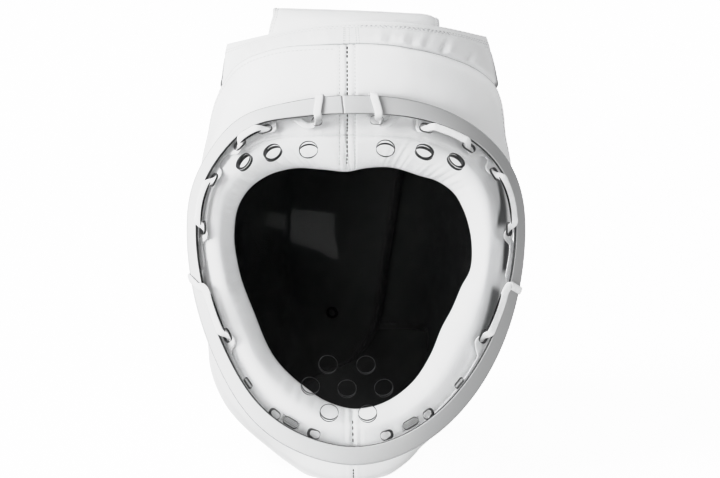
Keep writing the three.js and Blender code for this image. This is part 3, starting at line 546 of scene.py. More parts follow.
def make_eyelet():
    n = Nodes("black_eyelet")
    tone = n.blend(n.noise(300, 3), (0.0015, 0.0015, 0.0017), (0.003, 0.003, 0.0033))
    return n.finish(Base_Color=tone, Roughness=n.gloss(500, 3, 0.55, 0.7), Specular_IOR_Level=0.15)


leather = make_leather()
lining = make_lining()
hoop_plastic = plain("white_hoop_plastic", (25, 2, (0.56, 0.565, 0.57), (0.59, 0.593, 0.595)),
                     (200, 3, 0.3, 0.42), (700, 0.00002), 0.45)
clear = make_clear()
# painted shade: near black for the walls of the visor's cuts, the crescents inside its holes and the hoop's
# inner side
painted_edge_shade = plain("visor_edges_painted_shade", (400, 2, (0.030, 0.031, 0.032), (0.06, 0.061, 0.062)),
                 0.4, (1500, 0.00003), 0.4)
# painted shade: grey for the hoop's outer side, the shade line where the hoop meets the shell
painted_shade_hoop_side = plain("painted_shade_hoop_side", (300, 2, (0.30, 0.303, 0.306), (0.4, 0.403, 0.405)),
                  0.45, (1200, 0.00002), 0.4)
cotton = make_cotton()
white_thread = make_thread("white_thread", (0.56, 0.565, 0.57), (0.68, 0.685, 0.69))
# painted shade: grey for the strands that stand for the lace lying in shade under the window slots
lace_grey_painted_shade = make_thread("lace_grey_painted_shade", (0.24, 0.243, 0.245), (0.4, 0.403, 0.405))
# painted shade: grey for the lines along the hoop's outer edge and the crown edge, and also the grey of a
# stretch of the collar's hem stitches
painted_shade_and_grey_stitches = make_thread("painted_shade_and_grey_stitches", (0.42, 0.425, 0.43), (0.5, 0.505, 0.51))
# black thread for the lining and seam stitches, and painted shadow for the line beside the lace
black_thread_and_painted_shadow = make_thread("black_thread_and_painted_shadow", (0.008, 0.008, 0.009), (0.02, 0.02, 0.021))
eyelet_metal = make_eyelet()

# ---------------------------------------------------------------- shell

opening = ring_table(OPENING)
seam_rows = [dict(x=sign * row[side], depth=SEAM_DEPTH, z=row["z"], facing=90, wall=WALL)
             for side, sign in (("right", 1), ("left", -1)) for row in LEVELS]
boundary = ring_table([dict(row, wall=EDGE_WALL) for row in CROWN_EDGE] + seam_rows
                      + [dict(row, wall=WALL - 2) for row in CHIN_EDGE])


def shell_controls(theta):
    """Closed sections of the shell's wall along spokes, as (distance from the axis, depth)."""
    lip = opening(theta)["radius"]
    edge = boundary(theta)
    clearance = LACE_SPACE + SEAT_EDGES["side_gap"] * np.maximum(0, np.cos(theta)) ** 2
    seat_in = band_profile(theta, SEAT_EDGES["inner"], -clearance)
    seat_out = band_profile(theta, SEAT_EDGES["outer"], -clearance)
    facing = np.radians(edge["facing"])
    out = pair(np.sin(facing), -np.cos(facing))
    end = pair(np.cos(facing), np.sin(facing))
    rim = pair(edge["radius"], edge["depth"]) - end * CREST["round"]
    rim_inner = rim - out * edge["wall"][:, None]
    rim_end = (rim + rim_inner) / 2 + end * CREST["round"]
    crest = (seat_out + rim) / 2 + out * CREST["lift"]
    swell = 0.5 + LIP["swell"] * np.maximum(0, seat_in[:, 0] - lip - LIP["flat"])
    middle = (lip + seat_out[:, 0]) / 2 + CREST["hollow"]
    behind = np.maximum(seat_in[:, 1], seat_out[:, 1]) + WALL
    return np.stack([
        pair(lip + LIP["roll_rear"], seat_in[:, 1] + LIP["rear"]),
        pair(lip, seat_in[:, 1] + LIP["nose"]),
        pair(lip + LIP["roll"], seat_in[:, 1] + LIP["front"]),
        pair((lip + seat_in[:, 0]) / 2 + 2, seat_in[:, 1] - swell),
        seat_in,
        seat_out,
        crest,
        mix(seat_out, rim, CREST["near"]) + out * CREST["near_lift"],
        rim,
        rim_end,
        rim_inner,
        crest - out * WALL,
        pair(middle, behind),
    ], axis=1)


def degrees_from(angle):
    """How far each spoke is from an angle in degrees, from -180 to 180."""
    return np.degrees(np.angle(np.exp(1j * (theta - math.radians(angle)))))


def spokes_round():
    """Spokes round the axis, close together at the centre seam above and below."""
    steps = np.arange(0, 360, 1.0)
    near = np.concatenate([np.arange(86, 99, 0.25), np.arange(264, 276, 0.5)])
    return np.radians(np.unique(np.round(np.concatenate([steps, near]), 3)))


SEAM_LINE = rows("z x", (170, -6.2), (120, -6), (60, -6), (-80, -2.6), (-150, -1.7))
BESIDE_SEAM = 5.2  # dents of the stitch rows on both sides of the centre seam
PER_SPAN = 9  # steps from one control point of the shell's section to the next
FRONT_SPANS = 1.2, 9  # from the lip to the rim, in control points
LINED_FROM, LINED_TO = 10.4, 0.55  # the lining lies between them, round the section's rear
theta = spokes_round()
controls = shell_controls(theta)
sections = closed_curve(controls, PER_SPAN)
sections[..., 1] = np.minimum(sections[..., 1], SEAM_DEPTH)
shell_loops = spoke(theta[:, None], sections)
outside = np.arange(sections.shape[1]) / PER_SPAN
normals = grid_normals(shell_loops, True, True)
middle_ring = shell_loops.mean(axis=1, keepdims=True)
if ((shell_loops - middle_ring) * normals).sum(-1).mean() < 0:
    normals = -normals
front = ((outside > FRONT_SPANS[0]) & (outside < FRONT_SPANS[1]))[None, :]
seam_x = lookup(SEAM_LINE, "z", shell_loops[..., 2])["x"]
off_seam = np.abs(shell_loops[..., 0] - seam_x)
lift = -0.9 * bell(off_seam, 1.3) - 0.35 * bell(off_seam - BESIDE_SEAM, 1.2)
lift += 0.5 * rough(shell_loops, 38, 3.1) + 0.18 * rough(shell_loops, 13, 7.7)
GATHERS = rows("angle width pitch height", (158, 12, 3.4, 0.8), (141, 9, 4.3, 0.7), (127, 6, 3.3, 0.6),
               (97, 6, 4.6, 0.5), (30, 13, 3.7, 0.7), (60, 9, 4.4, 0.6), (250, 10, 4.3, 0.4),
               (295, 9, 4.2, 0.4), (205, 9, 4.5, 0.5))
at_lip = bell(outside - 2.0, 0.9)
for row in GATHERS:
    away = degrees_from(row["angle"])
    wave = np.cos(math.tau * away / row["pitch"] + 1.3 * np.sin(away))
    lift += row["height"] * (wave * bell(away, row["width"]))[:, None] * at_lip[None, :]
shell_loops = rest(shell_loops + normals * (lift * front)[..., None])
shell = loft("padded_shell", shell_loops, leather, closed=True)

# painted shade in the leather's colour: the trough under the visor's flange and thin lines beside the lace
# runs are darkened, between two angles and two places of the section
PAINTED_SHADE_BANDS = rows(
    "start end near far narrow shade", (0, 24, 4.35, 5.3, 0.85, 1), (-17, 1, 4.95, 5.7, 0, 1),
    (-42, -22, 4.3, 5.0, 0, 0.9), (157, 186, 4.75, 5.05, 0, 0.9), (196, 222, 4.75, 5.05, 0, 0.8),
    (131, 147, 4.5, 4.8, 0, 0.7))
SOFT_EDGE = 0.12
shade = np.zeros(shell_loops.shape[:2])
for row in PAINTED_SHADE_BANDS:
    away = degrees_from((row["start"] + row["end"]) / 2) * 2 / (row["end"] - row["start"])
    within = 1 - smooth(0.75, 1.05, np.abs(away))
    narrowed = row["narrow"] * np.clip(away / 2 + 0.5, 0, 1)
    near, far = mix(row["near"], row["far"], narrowed)[:, None], row["far"]
    across = between(near - SOFT_EDGE, near + SOFT_EDGE, far - SOFT_EDGE, far + SOFT_EDGE, outside)
    shade = np.maximum(shade, row["shade"] * within[:, None] * across)
layer = shell.data.attributes.new("shade", "FLOAT", "POINT")
layer.data.foreach_set("value", shade.ravel())
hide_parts("shell")

lined = [*range(int(LINED_FROM * PER_SPAN), sections.shape[1]), *range(int(LINED_TO * PER_SPAN))]


def shell_layer(offset):
    return (shell_loops + normals * offset)[:, lined]


edge_taper = np.sin(np.linspace(0, math.pi, len(lined)))[None, :, None] ** 0.35
mid_layer = shell_layer(LINING_GAP + LINING / 2)
inner_side = mid_layer + (shell_layer(LINING_GAP) - mid_layer) * edge_taper
outer_side = mid_layer + (shell_layer(LINING_GAP + LINING) - mid_layer) * edge_taper
lining_loops = rest(wrap(inner_side, outer_side))
lining_loops[..., 1] = np.minimum(lining_loops[..., 1], SEAM_DEPTH)
shell_lining = loft("shell_lining_cloth", lining_loops, lining, closed=True)
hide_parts("shell_lining")

# ---------------------------------------------------------------- wings and neck band


def hood_surface(side, around, z, start=SEAM_DEPTH + GAP):
    """The hood's outside behind the seams, `around` radians from a side towards the back."""
    level = lookup(LEVELS, "z", z)
    own = -level["left"] if side == "left" else level["right"]
    other = level["right"] if side == "left" else -level["left"]
    cosine = np.cos(around)
    x = np.where(cosine > 0, own * cosine, other * -cosine)
    return xyz(x, start + (level["back"] - start) * np.sin(around), z)


def wing_surface(side):
    bottom_rows = LEFT_BOTTOM if side == "left" else RIGHT_BOTTOM

    def surface(s, t):
        bottom = lookup(bottom_rows, "along", s)["z"]
        z = bottom + (LEVELS[0]["z"] - bottom) * t
        level = lookup(LEVELS, "z", z)
        sweep = math.radians(WINGS["right_sweep"])
        if side == "left":
            x = lookup(LEFT_EDGE, "z", z)["x"]
            sweep = math.pi / 2 + np.arcsin(x / np.where(x > 0, level["right"], level["left"]))
        return hood_surface(side, s * sweep, z)
    return surface


def wing_wall(s, t):
    thin = mix(WALL, WING_END_WALL, smooth(WINGS["thin_from"], WINGS["thin_to"], s))
    return mix(thin, EDGE_WALL, smooth(WINGS["crown_from"], 1, t))


LEFT_DEPTH = WING_END_WALL + LINING + 9 * GAP


def left_depth(s, t):
    return LEFT_DEPTH * smooth(WINGS["dive_from"], WINGS["dive_to"], s)


def surface_normals(surface, s, t):
    step = 1e-3
    across = surface(np.minimum(s + step, 1), t) - surface(np.maximum(s - step, 0), t)
    up = surface(s, np.minimum(t + step, 1)) - surface(s, np.maximum(t - step, 0))
    normal = unit(np.cross(across, up))
    side = (normal * (surface(s, t) - HOOD_MIDDLE)).sum(-1, keepdims=True)
    return np.where(side < 0, -normal, normal)


class Panel:
    """A padded panel under a surface, with rounded edges and stitched-down margins."""

    def __init__(self, surface, wall, columns, lines, roundness=7, depth_of=None, overhang=(0, 0),
                 stitch=5.5, dent=0.45, waviness=0.5, seed=0.0):
        spacing = [0.5 - 0.5 * np.cos(math.pi * np.arange(n + 1) / n) for n in (columns, lines)]
        s, t = np.meshgrid(*spacing, indexing="ij")
        p, normal = surface(s, t), surface_normals(surface, s, t)
        edges = [np.linalg.norm(p - surface(a + 0 * s, b + 0 * t), axis=-1)
                 for a, b in ((0, t), (1, t), (s, 0), (s, 1))]
        distance = np.minimum.reduce(edges)
        close = np.minimum(1, distance / roundness)
        fullness = np.sqrt(np.maximum(0, 1 - (1 - close) ** 2))
        half = wall(s, t) / 2
        depth = depth_of(s, t) if depth_of else 0 * s
        middle = depth + half
        dents = dent * bell(distance - stitch, 1.3)
        lumps = waviness * rough(p, 40, seed) * smooth(4, 14, distance)
        lumps += 0.3 * waviness * rough(p, 12, seed + 5) * smooth(3, 8, distance)
        edge = np.maximum(half * fullness, 0.35)
        self.outer = rest(p - normal * (middle - edge + dents - lumps)[..., None])
        self.inner = rest(p - normal * (middle + edge - dents)[..., None])
        below = middle + edge - dents + LINING_GAP
        lined = np.maximum(0.15, np.minimum(1, distance / 3)) * LINING
        puff = 0.35 * rough(p, 24, seed + 9) * smooth(6, 14, distance)
        # the lining stands out a little past the free edges
        p = surface(s + overhang[0] * s**30, t - overhang[1] * (1 - t) ** 30)
        self.near = rest(p - normal * below[..., None])
        self.far = rest(p - normal * (below + lined + puff + 0.2)[..., None])

    def body(self, name):
        return loft(name, wrap(self.outer, self.inner), leather)

    def lining(self, name):
        return loft(name, wrap(self.near, self.far), lining)


def wing(side):
    panel = Panel(wing_surface(side), wing_wall, 130, 100, depth_of=left_depth if side == "left" else None,
                  overhang=(0.003, 0.002), seed=1.7 if side == "left" else 8.3)
    body = panel.body("padded_wing_" + side)
    inside = panel.lining("wing_lining_" + side)
    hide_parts("wing_" + side)
    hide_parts(f"wing_{side}_lining")
    return panel, inside


left_panel, left_inside = wing("left")
right_panel, right_inside = wing("right")


def band_surface(s, t):
    around = np.radians(BAND["start"] + (BAND["end"] - BAND["start"]) * s)
    depth = hood_surface("left", around, LEVELS[6]["z"])[..., 1]
    bottom = floor_at(depth) - BAND["below"]
    return hood_surface("left", around, bottom + (BAND["top"] - bottom) * t)


band_depth = -BAND["thickness"] - LINING_GAP - LINING - 2 * GAP
band_panel = Panel(band_surface, lambda s, t: BAND["thickness"] + 0 * s, 110, 50, roundness=5,
                   depth_of=lambda s, t: band_depth + 0 * s, waviness=0.35, seed=4.4)
band = band_panel.body("padded_neck_band")
band_lining = band_panel.lining("neck_band_lining_cloth")
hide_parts("neck_band")
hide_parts("neck_band_lining")

# ---------------------------------------------------------------- crown collar and flap

COLLAR_STATIONS = 260  # in its front half, and again in its rear half
COLLAR_STEPS = 12  # from one control point of its section to the next
seam_top = LEVELS[0]
crown_front = curve_through(
    [dict(x=-seam_top["left"], depth=SEAM_DEPTH, z=seam_top["z"]), *CROWN_EDGE,
     dict(x=seam_top["right"], depth=SEAM_DEPTH, z=seam_top["z"])])
hem_front = curve_through(HEM_FRONT)
hem_back = curve_through(HEM_BACK)


def towards_inside(p):
    """Level direction from a crown point towards the inside of the mouth."""
    return unit(xyz(-0.55 * p[..., 0], 105 - p[..., 1], 0 * p[..., 0]))


def collar_profile(per_half):
    q = np.arange(per_half) / per_half
    inset = np.concatenate([
        np.full(per_half, COLLAR["tuck_front"], float),
        mix(COLLAR["tuck_front"], COLLAR["tuck_back"], between(0.02, 0.1, 0.9, 0.98, q))])
    riding = np.concatenate([0 * q, between(0.6, 0.68, 0.94, 1, q)])
    back = hood_surface("right", q * math.pi, np.full(per_half, seam_top["z"]),
                        SEAM_DEPTH - WINGS["behind"])
    edge = np.concatenate([crown_front(q), back])
    hem = np.concatenate([hem_front(q), hem_back(q)])
    inward = towards_inside(edge)
    drop = mix(COLLAR["tuck"], -COLLAR["over"], riding)[:, None]
    tucked = edge + inward * inset[:, None] - UP * drop
    level = edge + inward * (EDGE_WALL + 3 * GAP) + UP * (2 * COLLAR["over"] * riding)[:, None]

    side = (edge[:, :1] / seam_top["right"]) ** 4
    side_bulge = np.where(edge[:, :1] < 0, COLLAR["bulge_left"], COLLAR["bulge_right"])
    bulge = mix(COLLAR["bulge"], side_bulge, side)

    def rising(t):
        outward = bulge * math.sin(math.pi * t**0.8) + COLLAR["flush"] * side * (1 - t)
        return mix(level, hem, t) - inward * outward
    controls = np.stack([tucked, level, rising(0.13), rising(0.35), rising(0.7), hem], axis=1)
    return open_curve(controls, COLLAR_STEPS), inward


PUCKERS = rows(
    "x z width tall lean height",
    (16, 163, 2.6, 9, 0.15, 0.8), (23, 162, 2.4, 9, 0.2, -0.9), (32, 163, 2.6, 8, 0.3, 0.9),
    (38, 160, 2.0, 7, 0.3, -0.9), (44, 162, 2.6, 8, 0.4, 0.8), (50, 164, 2.2, 8, 0.4, -0.7),
    (60, 158, 2.0, 7, 0.5, -2.0), (65, 158, 3.0, 7, 0.5, 1.2), (78, 152, 2.2, 6, 0.6, -1.6),
    (83, 152, 2.6, 6, 0.6, 0.9), (-20, 166, 3.2, 9, -0.1, 0.45), (-34, 164, 3.0, 8, -0.2, -0.5),
    (-47, 163, 2.6, 8, -0.3, 0.5), (-62, 160, 2.6, 8, -0.5, -0.7), (-74, 157, 2.8, 7, -0.6, 0.7))

FRONT_HALF = 95  # depth up to which the collar's puckers show
HEM_PLACE = 0.84  # share of the collar's height at which its hem is sewn
outer, inward = collar_profile(COLLAR_STATIONS)
height = np.linspace(0, 1, outer.shape[1])
fold = np.zeros(outer.shape[:2])
for row in PUCKERS:
    x = row["x"] + row["lean"] * (outer[..., 2] - row["z"])
    across, up = (outer[..., 0] - x) / row["width"], (outer[..., 2] - row["z"]) / row["tall"]
    fold += row["height"] * np.exp(-across**2 - up**2) * (outer[..., 1] < FRONT_HALF)
back_half = (np.arange(outer.shape[0]) >= COLLAR_STATIONS)[:, None]
turns = np.linspace(0, 1, outer.shape[0])[:, None]
fold += back_half * 0.7 * np.sin(turns * 180 + 3 * np.sin(turns * 40)) * np.sin(math.pi * height[None, :])
fold += 0.35 * rough(outer, 16, 2.2)
free = smooth(0.3, 0.52, height)[None, :]
fold = fold * free * (1 - 0.75 * smooth(0.9, 1, height)[None, :])
fold -= 0.35 * bell(height - HEM_PLACE, 0.025)[None, :]
outer = outer - inward[:, None] * fold[..., None]
thick = np.interp(height, [0, 0.8, HEM_PLACE, 1], [LEATHER, LEATHER, COLLAR["hem"], COLLAR["hem"]])
inner = outer + inward[:, None] * thick[None, :, None]
turned_hem = np.linspace(0, math.pi, 7)[1:-1]
middle = (outer[:, -1] + inner[:, -1]) / 2
radius = thick[-1] / 2
cap = np.stack([middle - inward * radius * math.cos(a) + UP * 0.7 * radius * math.sin(a)
                for a in turned_hem], axis=1)
collar = loft("crown_collar_sheet", wrap(outer, cap, inner), leather, closed=True)
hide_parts("crown_collar")

flap_line = curve_through(FLAP_PATH)


def flap_surface(s, t):
    """The flap curves with the front hem where it leaves it, and with the back at its end."""
    middle = flap_line(t)
    x = FLAP["half_width"] * (2 * s - 1) - FLAP["flare"] * (1 - s) ** 4 * (1 - smooth(0.06, 0.16, t))
    hem, hem_middle = (lookup(HEM_FRONT, "x", place)["depth"] for place in (x, 0 * x))
    along_hem = FLAP["hem_follow"] * (hem - hem_middle)
    level = lookup(LEVELS, "z", np.minimum(middle[..., 2], seam_top["z"]))
    side = np.where(x < 0, level["left"], level["right"])
    deep = level["back"] - SEAM_DEPTH + WINGS["behind"]
    along_back = deep * (np.sqrt(1 - (x / side) ** 2) - 1)
    at_front = 1 - smooth(0.1, 0.4, t)
    at_back = smooth(0.45, 0.72, t)
    crest = np.sin(math.pi * np.minimum(1, t / 0.6))
    return xyz(x, middle[..., 1] + along_hem * at_front + along_back * at_back,
               middle[..., 2] - (FLAP["slope"] * x + FLAP["droop"] * s**24) * crest)


flap_panel = Panel(flap_surface, lambda s, t: FLAP["thickness"] + 0 * s, 90, 200, roundness=1.6,
                   stitch=4.6, dent=0.35, waviness=0.5, seed=6.1)
flap = flap_panel.body("crown_flap_sheet")
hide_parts("crown_flap")

# ---------------------------------------------------------------- visor


def flange_width(theta):
    return VISOR["flange"] + VISOR["flange_right"] * np.maximum(0, np.cos(theta)) ** 2


def bubble(theta, way):
    """(distance from the axis, depth) of the bubble, from its crest (0) to its foot (1)."""
    foot = band_profile(theta, -flange_width(theta), 0)
    up = 0.5 + 0.5 * np.sin(theta)
    full = mix(VISOR["full_chin"], VISOR["full_top"], up)
    steep = mix(VISOR["steep_chin"], VISOR["steep_top"], up)
    depth = foot[..., 1] * way**2 - VISOR["height"] * np.maximum(0, 1 - way**full) ** steep
    return pair(foot[..., 0] * way, depth)


def bubble_at(x, z):
    theta = math.atan2(z - AXIS_Z, x)
    foot = band_profile(theta, -flange_width(theta), 0)
    return spoke(theta, bubble(theta, math.hypot(x, z - AXIS_Z) / foot[0]))


VISOR_SPOKES = 300
VENT_CUT, SLOT_CUT = (-9, 9), (-6, 3.5)  # how deep and how high their cutters reach
FOOT_BEND = 33, 44  # rings between which the foot's bend is rounded


def visor_loops():
    theta = np.arange(0, math.tau, math.tau / VISOR_SPOKES)[:, None]
    ways = np.concatenate([np.linspace(0.004, 0.6, 16)[:-1], np.linspace(0.6, 0.93, 16)[:-1],
                           np.linspace(0.93, 1, 9)])
    dome = bubble(theta, ways[None, :])
    offsets = np.array([[1.2, 3, 6, 9]]) - flange_width(theta)
    flange = band_profile(theta, np.concatenate([offsets, 0 * theta, 0 * theta + 4,
                                                 0 * theta + VISOR["under_hoop"]], 1), 0)
    outer = np.concatenate([dome, flange], axis=1)
    # the foot is a bend, not a crease
    first, last = FOOT_BEND
    for _ in range(10):
        around = outer[:, first - 1:last - 1] + outer[:, first + 1:last + 1]
        outer[:, first:last] = (around + 2 * outer[:, first:last]) / 4
    slope = np.gradient(outer, axis=1)
    across = unit(pair(-slope[..., 1], slope[..., 0]))
    inner = outer + across * VISOR["thickness"]
    inner[:, 0, 0] = outer[:, 0, 0]
    return spoke(theta, outer), spoke(theta, inner)


def visor_mesh():
    outer, inner = visor_loops()
    nu, nv = outer.shape[:2]
    points = np.concatenate([outer.reshape(-1, 3), inner.reshape(-1, 3)])
    faces = grid_faces(nu, nv, True, False).tolist()
    base = nu * nv
    faces += [[base + i for i in f[::-1]] for f in faces]
    for i in range(nu):
        k = (i + 1) % nu
        faces.append([i * nv + nv - 1, base + i * nv + nv - 1, base + k * nv + nv - 1, k * nv + nv - 1])
    faces.append([i * nv for i in range(nu)])
    faces.append([base + i * nv for i in range(nu)][::-1])
    return points, facing_out(points, faces)


def frame_of(forwards, through):
    x = unit(forwards)
    z = unit(through)
    y = np.cross(z, x)
    return np.stack([x, unit(y), z], axis=0)


def prism_cutter(centre, axes, outline, start, end):
    flat = np.array([axes[0] * u + axes[1] * v for u, v in outline])
    points = np.concatenate([centre + axes[2] * h + flat for h in (start, end)])
    faces = facing_out(points, tube_faces(2, len(outline), False))
    mesh = bpy.data.meshes.new("cutter")
    mesh.from_pydata(to_world(points).tolist(), [], faces)
    mesh.update()
    made = bpy.data.objects.new("cutter", mesh)
    bpy.context.scene.collection.objects.link(made)
    return made


def vent_hole(x, z, lean):
    """A vent is drilled at `lean` of the bubble's own slope, and straight back where that is 0."""
    def slope(dx, dz):
        way = bubble_at(x + dx, z + dz) - bubble_at(x - dx, z - dz)
        return way * [1, lean, 1]
    sideways, upwards = slope(0.5, 0), slope(0, 0.5)
    radius = VISOR["vent_radius"]
    circle = [(radius * math.cos(a), radius * math.sin(a)) for a in round_angles(64)]
    return bubble_at(x, z), frame_of(sideways, np.cross(upwards, sideways)), circle


def slot_hole(angle, out, along, across):
    theta = math.radians(angle)
    centre = on_band(theta, out, 0)
    ahead = on_band(theta + 0.01, out, 0) - centre
    axes = frame_of(ahead, on_band(theta, out, 1) - centre)
    corner = min(along, across) * 0.42
    outline = []
    for cx, cy, start in ((1, 1, 0), (-1, 1, 90), (-1, -1, 180), (1, -1, 270)):
        for a in np.radians(start + np.arange(0, 91, 15)):
            outline.append((cx * (along / 2 - corner) + corner * math.cos(a),
                            cy * (across / 2 - corner) + corner * math.sin(a)))
    return centre, axes, outline


def cut(piece, cutters):
    for tool in cutters:
        hole = piece.modifiers.new("hole", "BOOLEAN")
        hole.operation = "DIFFERENCE"
        hole.solver = "MANIFOLD"
        hole.object = tool
    graph = bpy.context.evaluated_depsgraph_get()
    mesh = bpy.data.meshes.new_from_object(piece.evaluated_get(graph))
    piece.modifiers.clear()
    old = piece.data
    piece.data = mesh
    bpy.data.meshes.remove(old)
    for tool in cutters:
        bpy.data.objects.remove(tool)


OFF_SURFACE = 0.0002  # metres from the uncut surface at which a face belongs to a cut
SAME_WAY = 0.8  # cosine between a face and the uncut surface under it


def keep_smooth(piece, whole, smooth_angle=30):
    """Gives faces on the uncut surface its own normals, and the cuts' walls the second material, which
    paints them dark as painted shade.
    """
    mesh = piece.data
    tree = BVHTree.FromPolygons([v.co for v in whole.vertices], [tuple(p.vertices) for p in whole.polygons])
    mesh.set_sharp_from_angle(angle=math.radians(smooth_angle))
    own = [tuple(c.vector) for c in mesh.corner_normals]
    for polygon in mesh.polygons:
        place, flat, index, far = tree.find_nearest(polygon.center)
        polygon.material_index = int(far > OFF_SURFACE or abs(flat.dot(polygon.normal)) < SAME_WAY)
        if polygon.material_index:
            continue
        for corner, vertex in zip(polygon.loop_indices, polygon.vertices):
            place, flat, index, far = tree.find_nearest(mesh.vertices[vertex].co)
            total = Vector()
            for v in whole.polygons[index].vertices:
                total += whole.vertices[v].normal / ((whole.vertices[v].co - place).length + 1e-6)
            own[corner] = tuple(total.normalized())
    mesh.normals_split_custom_set(own)


def painted_hole_shade(centre, axes, outline, width):
    """Painted shade: an opaque dark crescent inside a drilled hole, widest away from the middle of the
    visor.
    """
    outward = math.copysign(1, centre[0] - SEAM_LINE[1]["x"])
    towards = np.arctan2(axes[1][0] * outward, axes[0][0] * outward)
    outline = np.array(outline)
    angle = np.arctan2(outline[:, 1], outline[:, 0])
    wide = 0.12 + width * np.maximum(0, np.cos(angle - towards) * 0.8 + 0.2)
    inner = outline * (1 - wide / np.linalg.norm(outline, axis=1))[:, None]
    loops = [[centre + axes[0] * u + axes[1] * v + axes[2] * h
              for (u, v), h in ((far, -0.2), (near, -0.2), (near, -1.2), (far, -1.2))]
             for far, near in zip(outline * 1.01, inner)]
    return np.array(loops)


visor_points, visor_faces = visor_mesh()
visor = tidy("bubble_visor", visor_points, visor_faces, clear)
whole_visor = visor.data.copy()
# painted shade: the second material paints the walls of the cuts near black
visor.data.materials.append(painted_edge_shade)
vent_holes = [vent_hole(**row) for row in VENTS]
slot_holes = [slot_hole(**row) for row in SLOTS]
cut(visor, [prism_cutter(*hole, *VENT_CUT) for hole in vent_holes]
    + [prism_cutter(*hole, *SLOT_CUT) for hole in slot_holes])
keep_smooth(visor, whole_visor)
visor.visible_shadow = False
# painted shade: opaque dark crescents lie inside the vents and the lower slots
HOLE_SHADE = dict(upper=1.9, lower=0.15, slot=1.8)
hole_shade_widths = [HOLE_SHADE["upper"] * row["lean"] ** 1.5 if row["z"] > 0 else HOLE_SHADE["lower"]
               for row in VENTS]
hole_shades = [painted_hole_shade(*hole, width) for hole, width in zip(vent_holes, hole_shade_widths)]
hole_shades += [painted_hole_shade(*hole, HOLE_SHADE["slot"]) for row, hole in zip(SLOTS, slot_holes)
               if 240 < row["angle"] < 300 and row["along"] < 10]
skins("hole_crescents_painted_shade", hole_shades, painted_edge_shade, closed=True)
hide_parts("visor")

# ---------------------------------------------------------------- hoop and lace


def round_band(width, low, high, radius, steps=5):
    """Outline of the hoop's section with rounded corners, as (out, lift)."""
    out = []
    for cx, cy, start in ((width, high, 0), (0, high, 90), (0, low, 180), (width, low, 270)):
        sx, sy = (-1 if cx else 1), (-1 if cy == high else 1)
        for a in np.radians(start + np.linspace(0, 90, steps)):
            out.append((cx + radius * (sx + math.cos(a)), cy + radius * (sy + math.sin(a))))
    return np.array(out)


BUTT = math.radians(95.9)
outline = round_band(HOOP["width"], HOOP_SEAT, HOOP_SEAT + HOOP["thickness"], 0.85)
turn = BUTT + np.linspace(0.0012, math.tau - 0.0012, 420)[:, None]
hoop_loops = on_band(turn, outline[None, :, 0], outline[None, :, 1])
hoop = loft("hoop_band", hoop_loops, hoop_plastic)
# painted shade: the hoop's inner side is painted near black and its outer side grey, for the shade in the
# gaps beside it
hoop.data.materials.append(painted_edge_shade)
hoop.data.materials.append(painted_shade_hoop_side)
INNER_SIDE, OUTER_SIDE = range(8, 13), (*range(16, 20), 0, 1)  # faces of the section's outline
for number, polygon in enumerate(hoop.data.polygons):
    side_of_band = number % len(outline)
    if side_of_band in INNER_SIDE:
        polygon.material_index = 1
    elif side_of_band in OUTER_SIDE:
        polygon.material_index = 2
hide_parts("hoop")

UNDER = -(VISOR["thickness"] + 2 * GAP + LACE["thickness"] / 2)
THROUGH = -VISOR["thickness"] / 2
ON = GAP + LACE["thickness"] / 2
OVER = HOOP_SEAT + HOOP["thickness"] + GAP + LACE["thickness"] / 2
OUTSIDE = HOOP["width"] + GAP + LACE["thickness"] / 2 + 0.3
HIDDEN = 4.2
IN_SLOT = -4.4
IN_TOP_SLOT = -3.2
LACE_TURN = 36
LACE_LIFT = 1.5


def steepness(angle):
    """How steep the flange stands, from 0 above and below to 1 at the sides."""
    return abs(math.cos(math.radians(angle))) ** 1.5


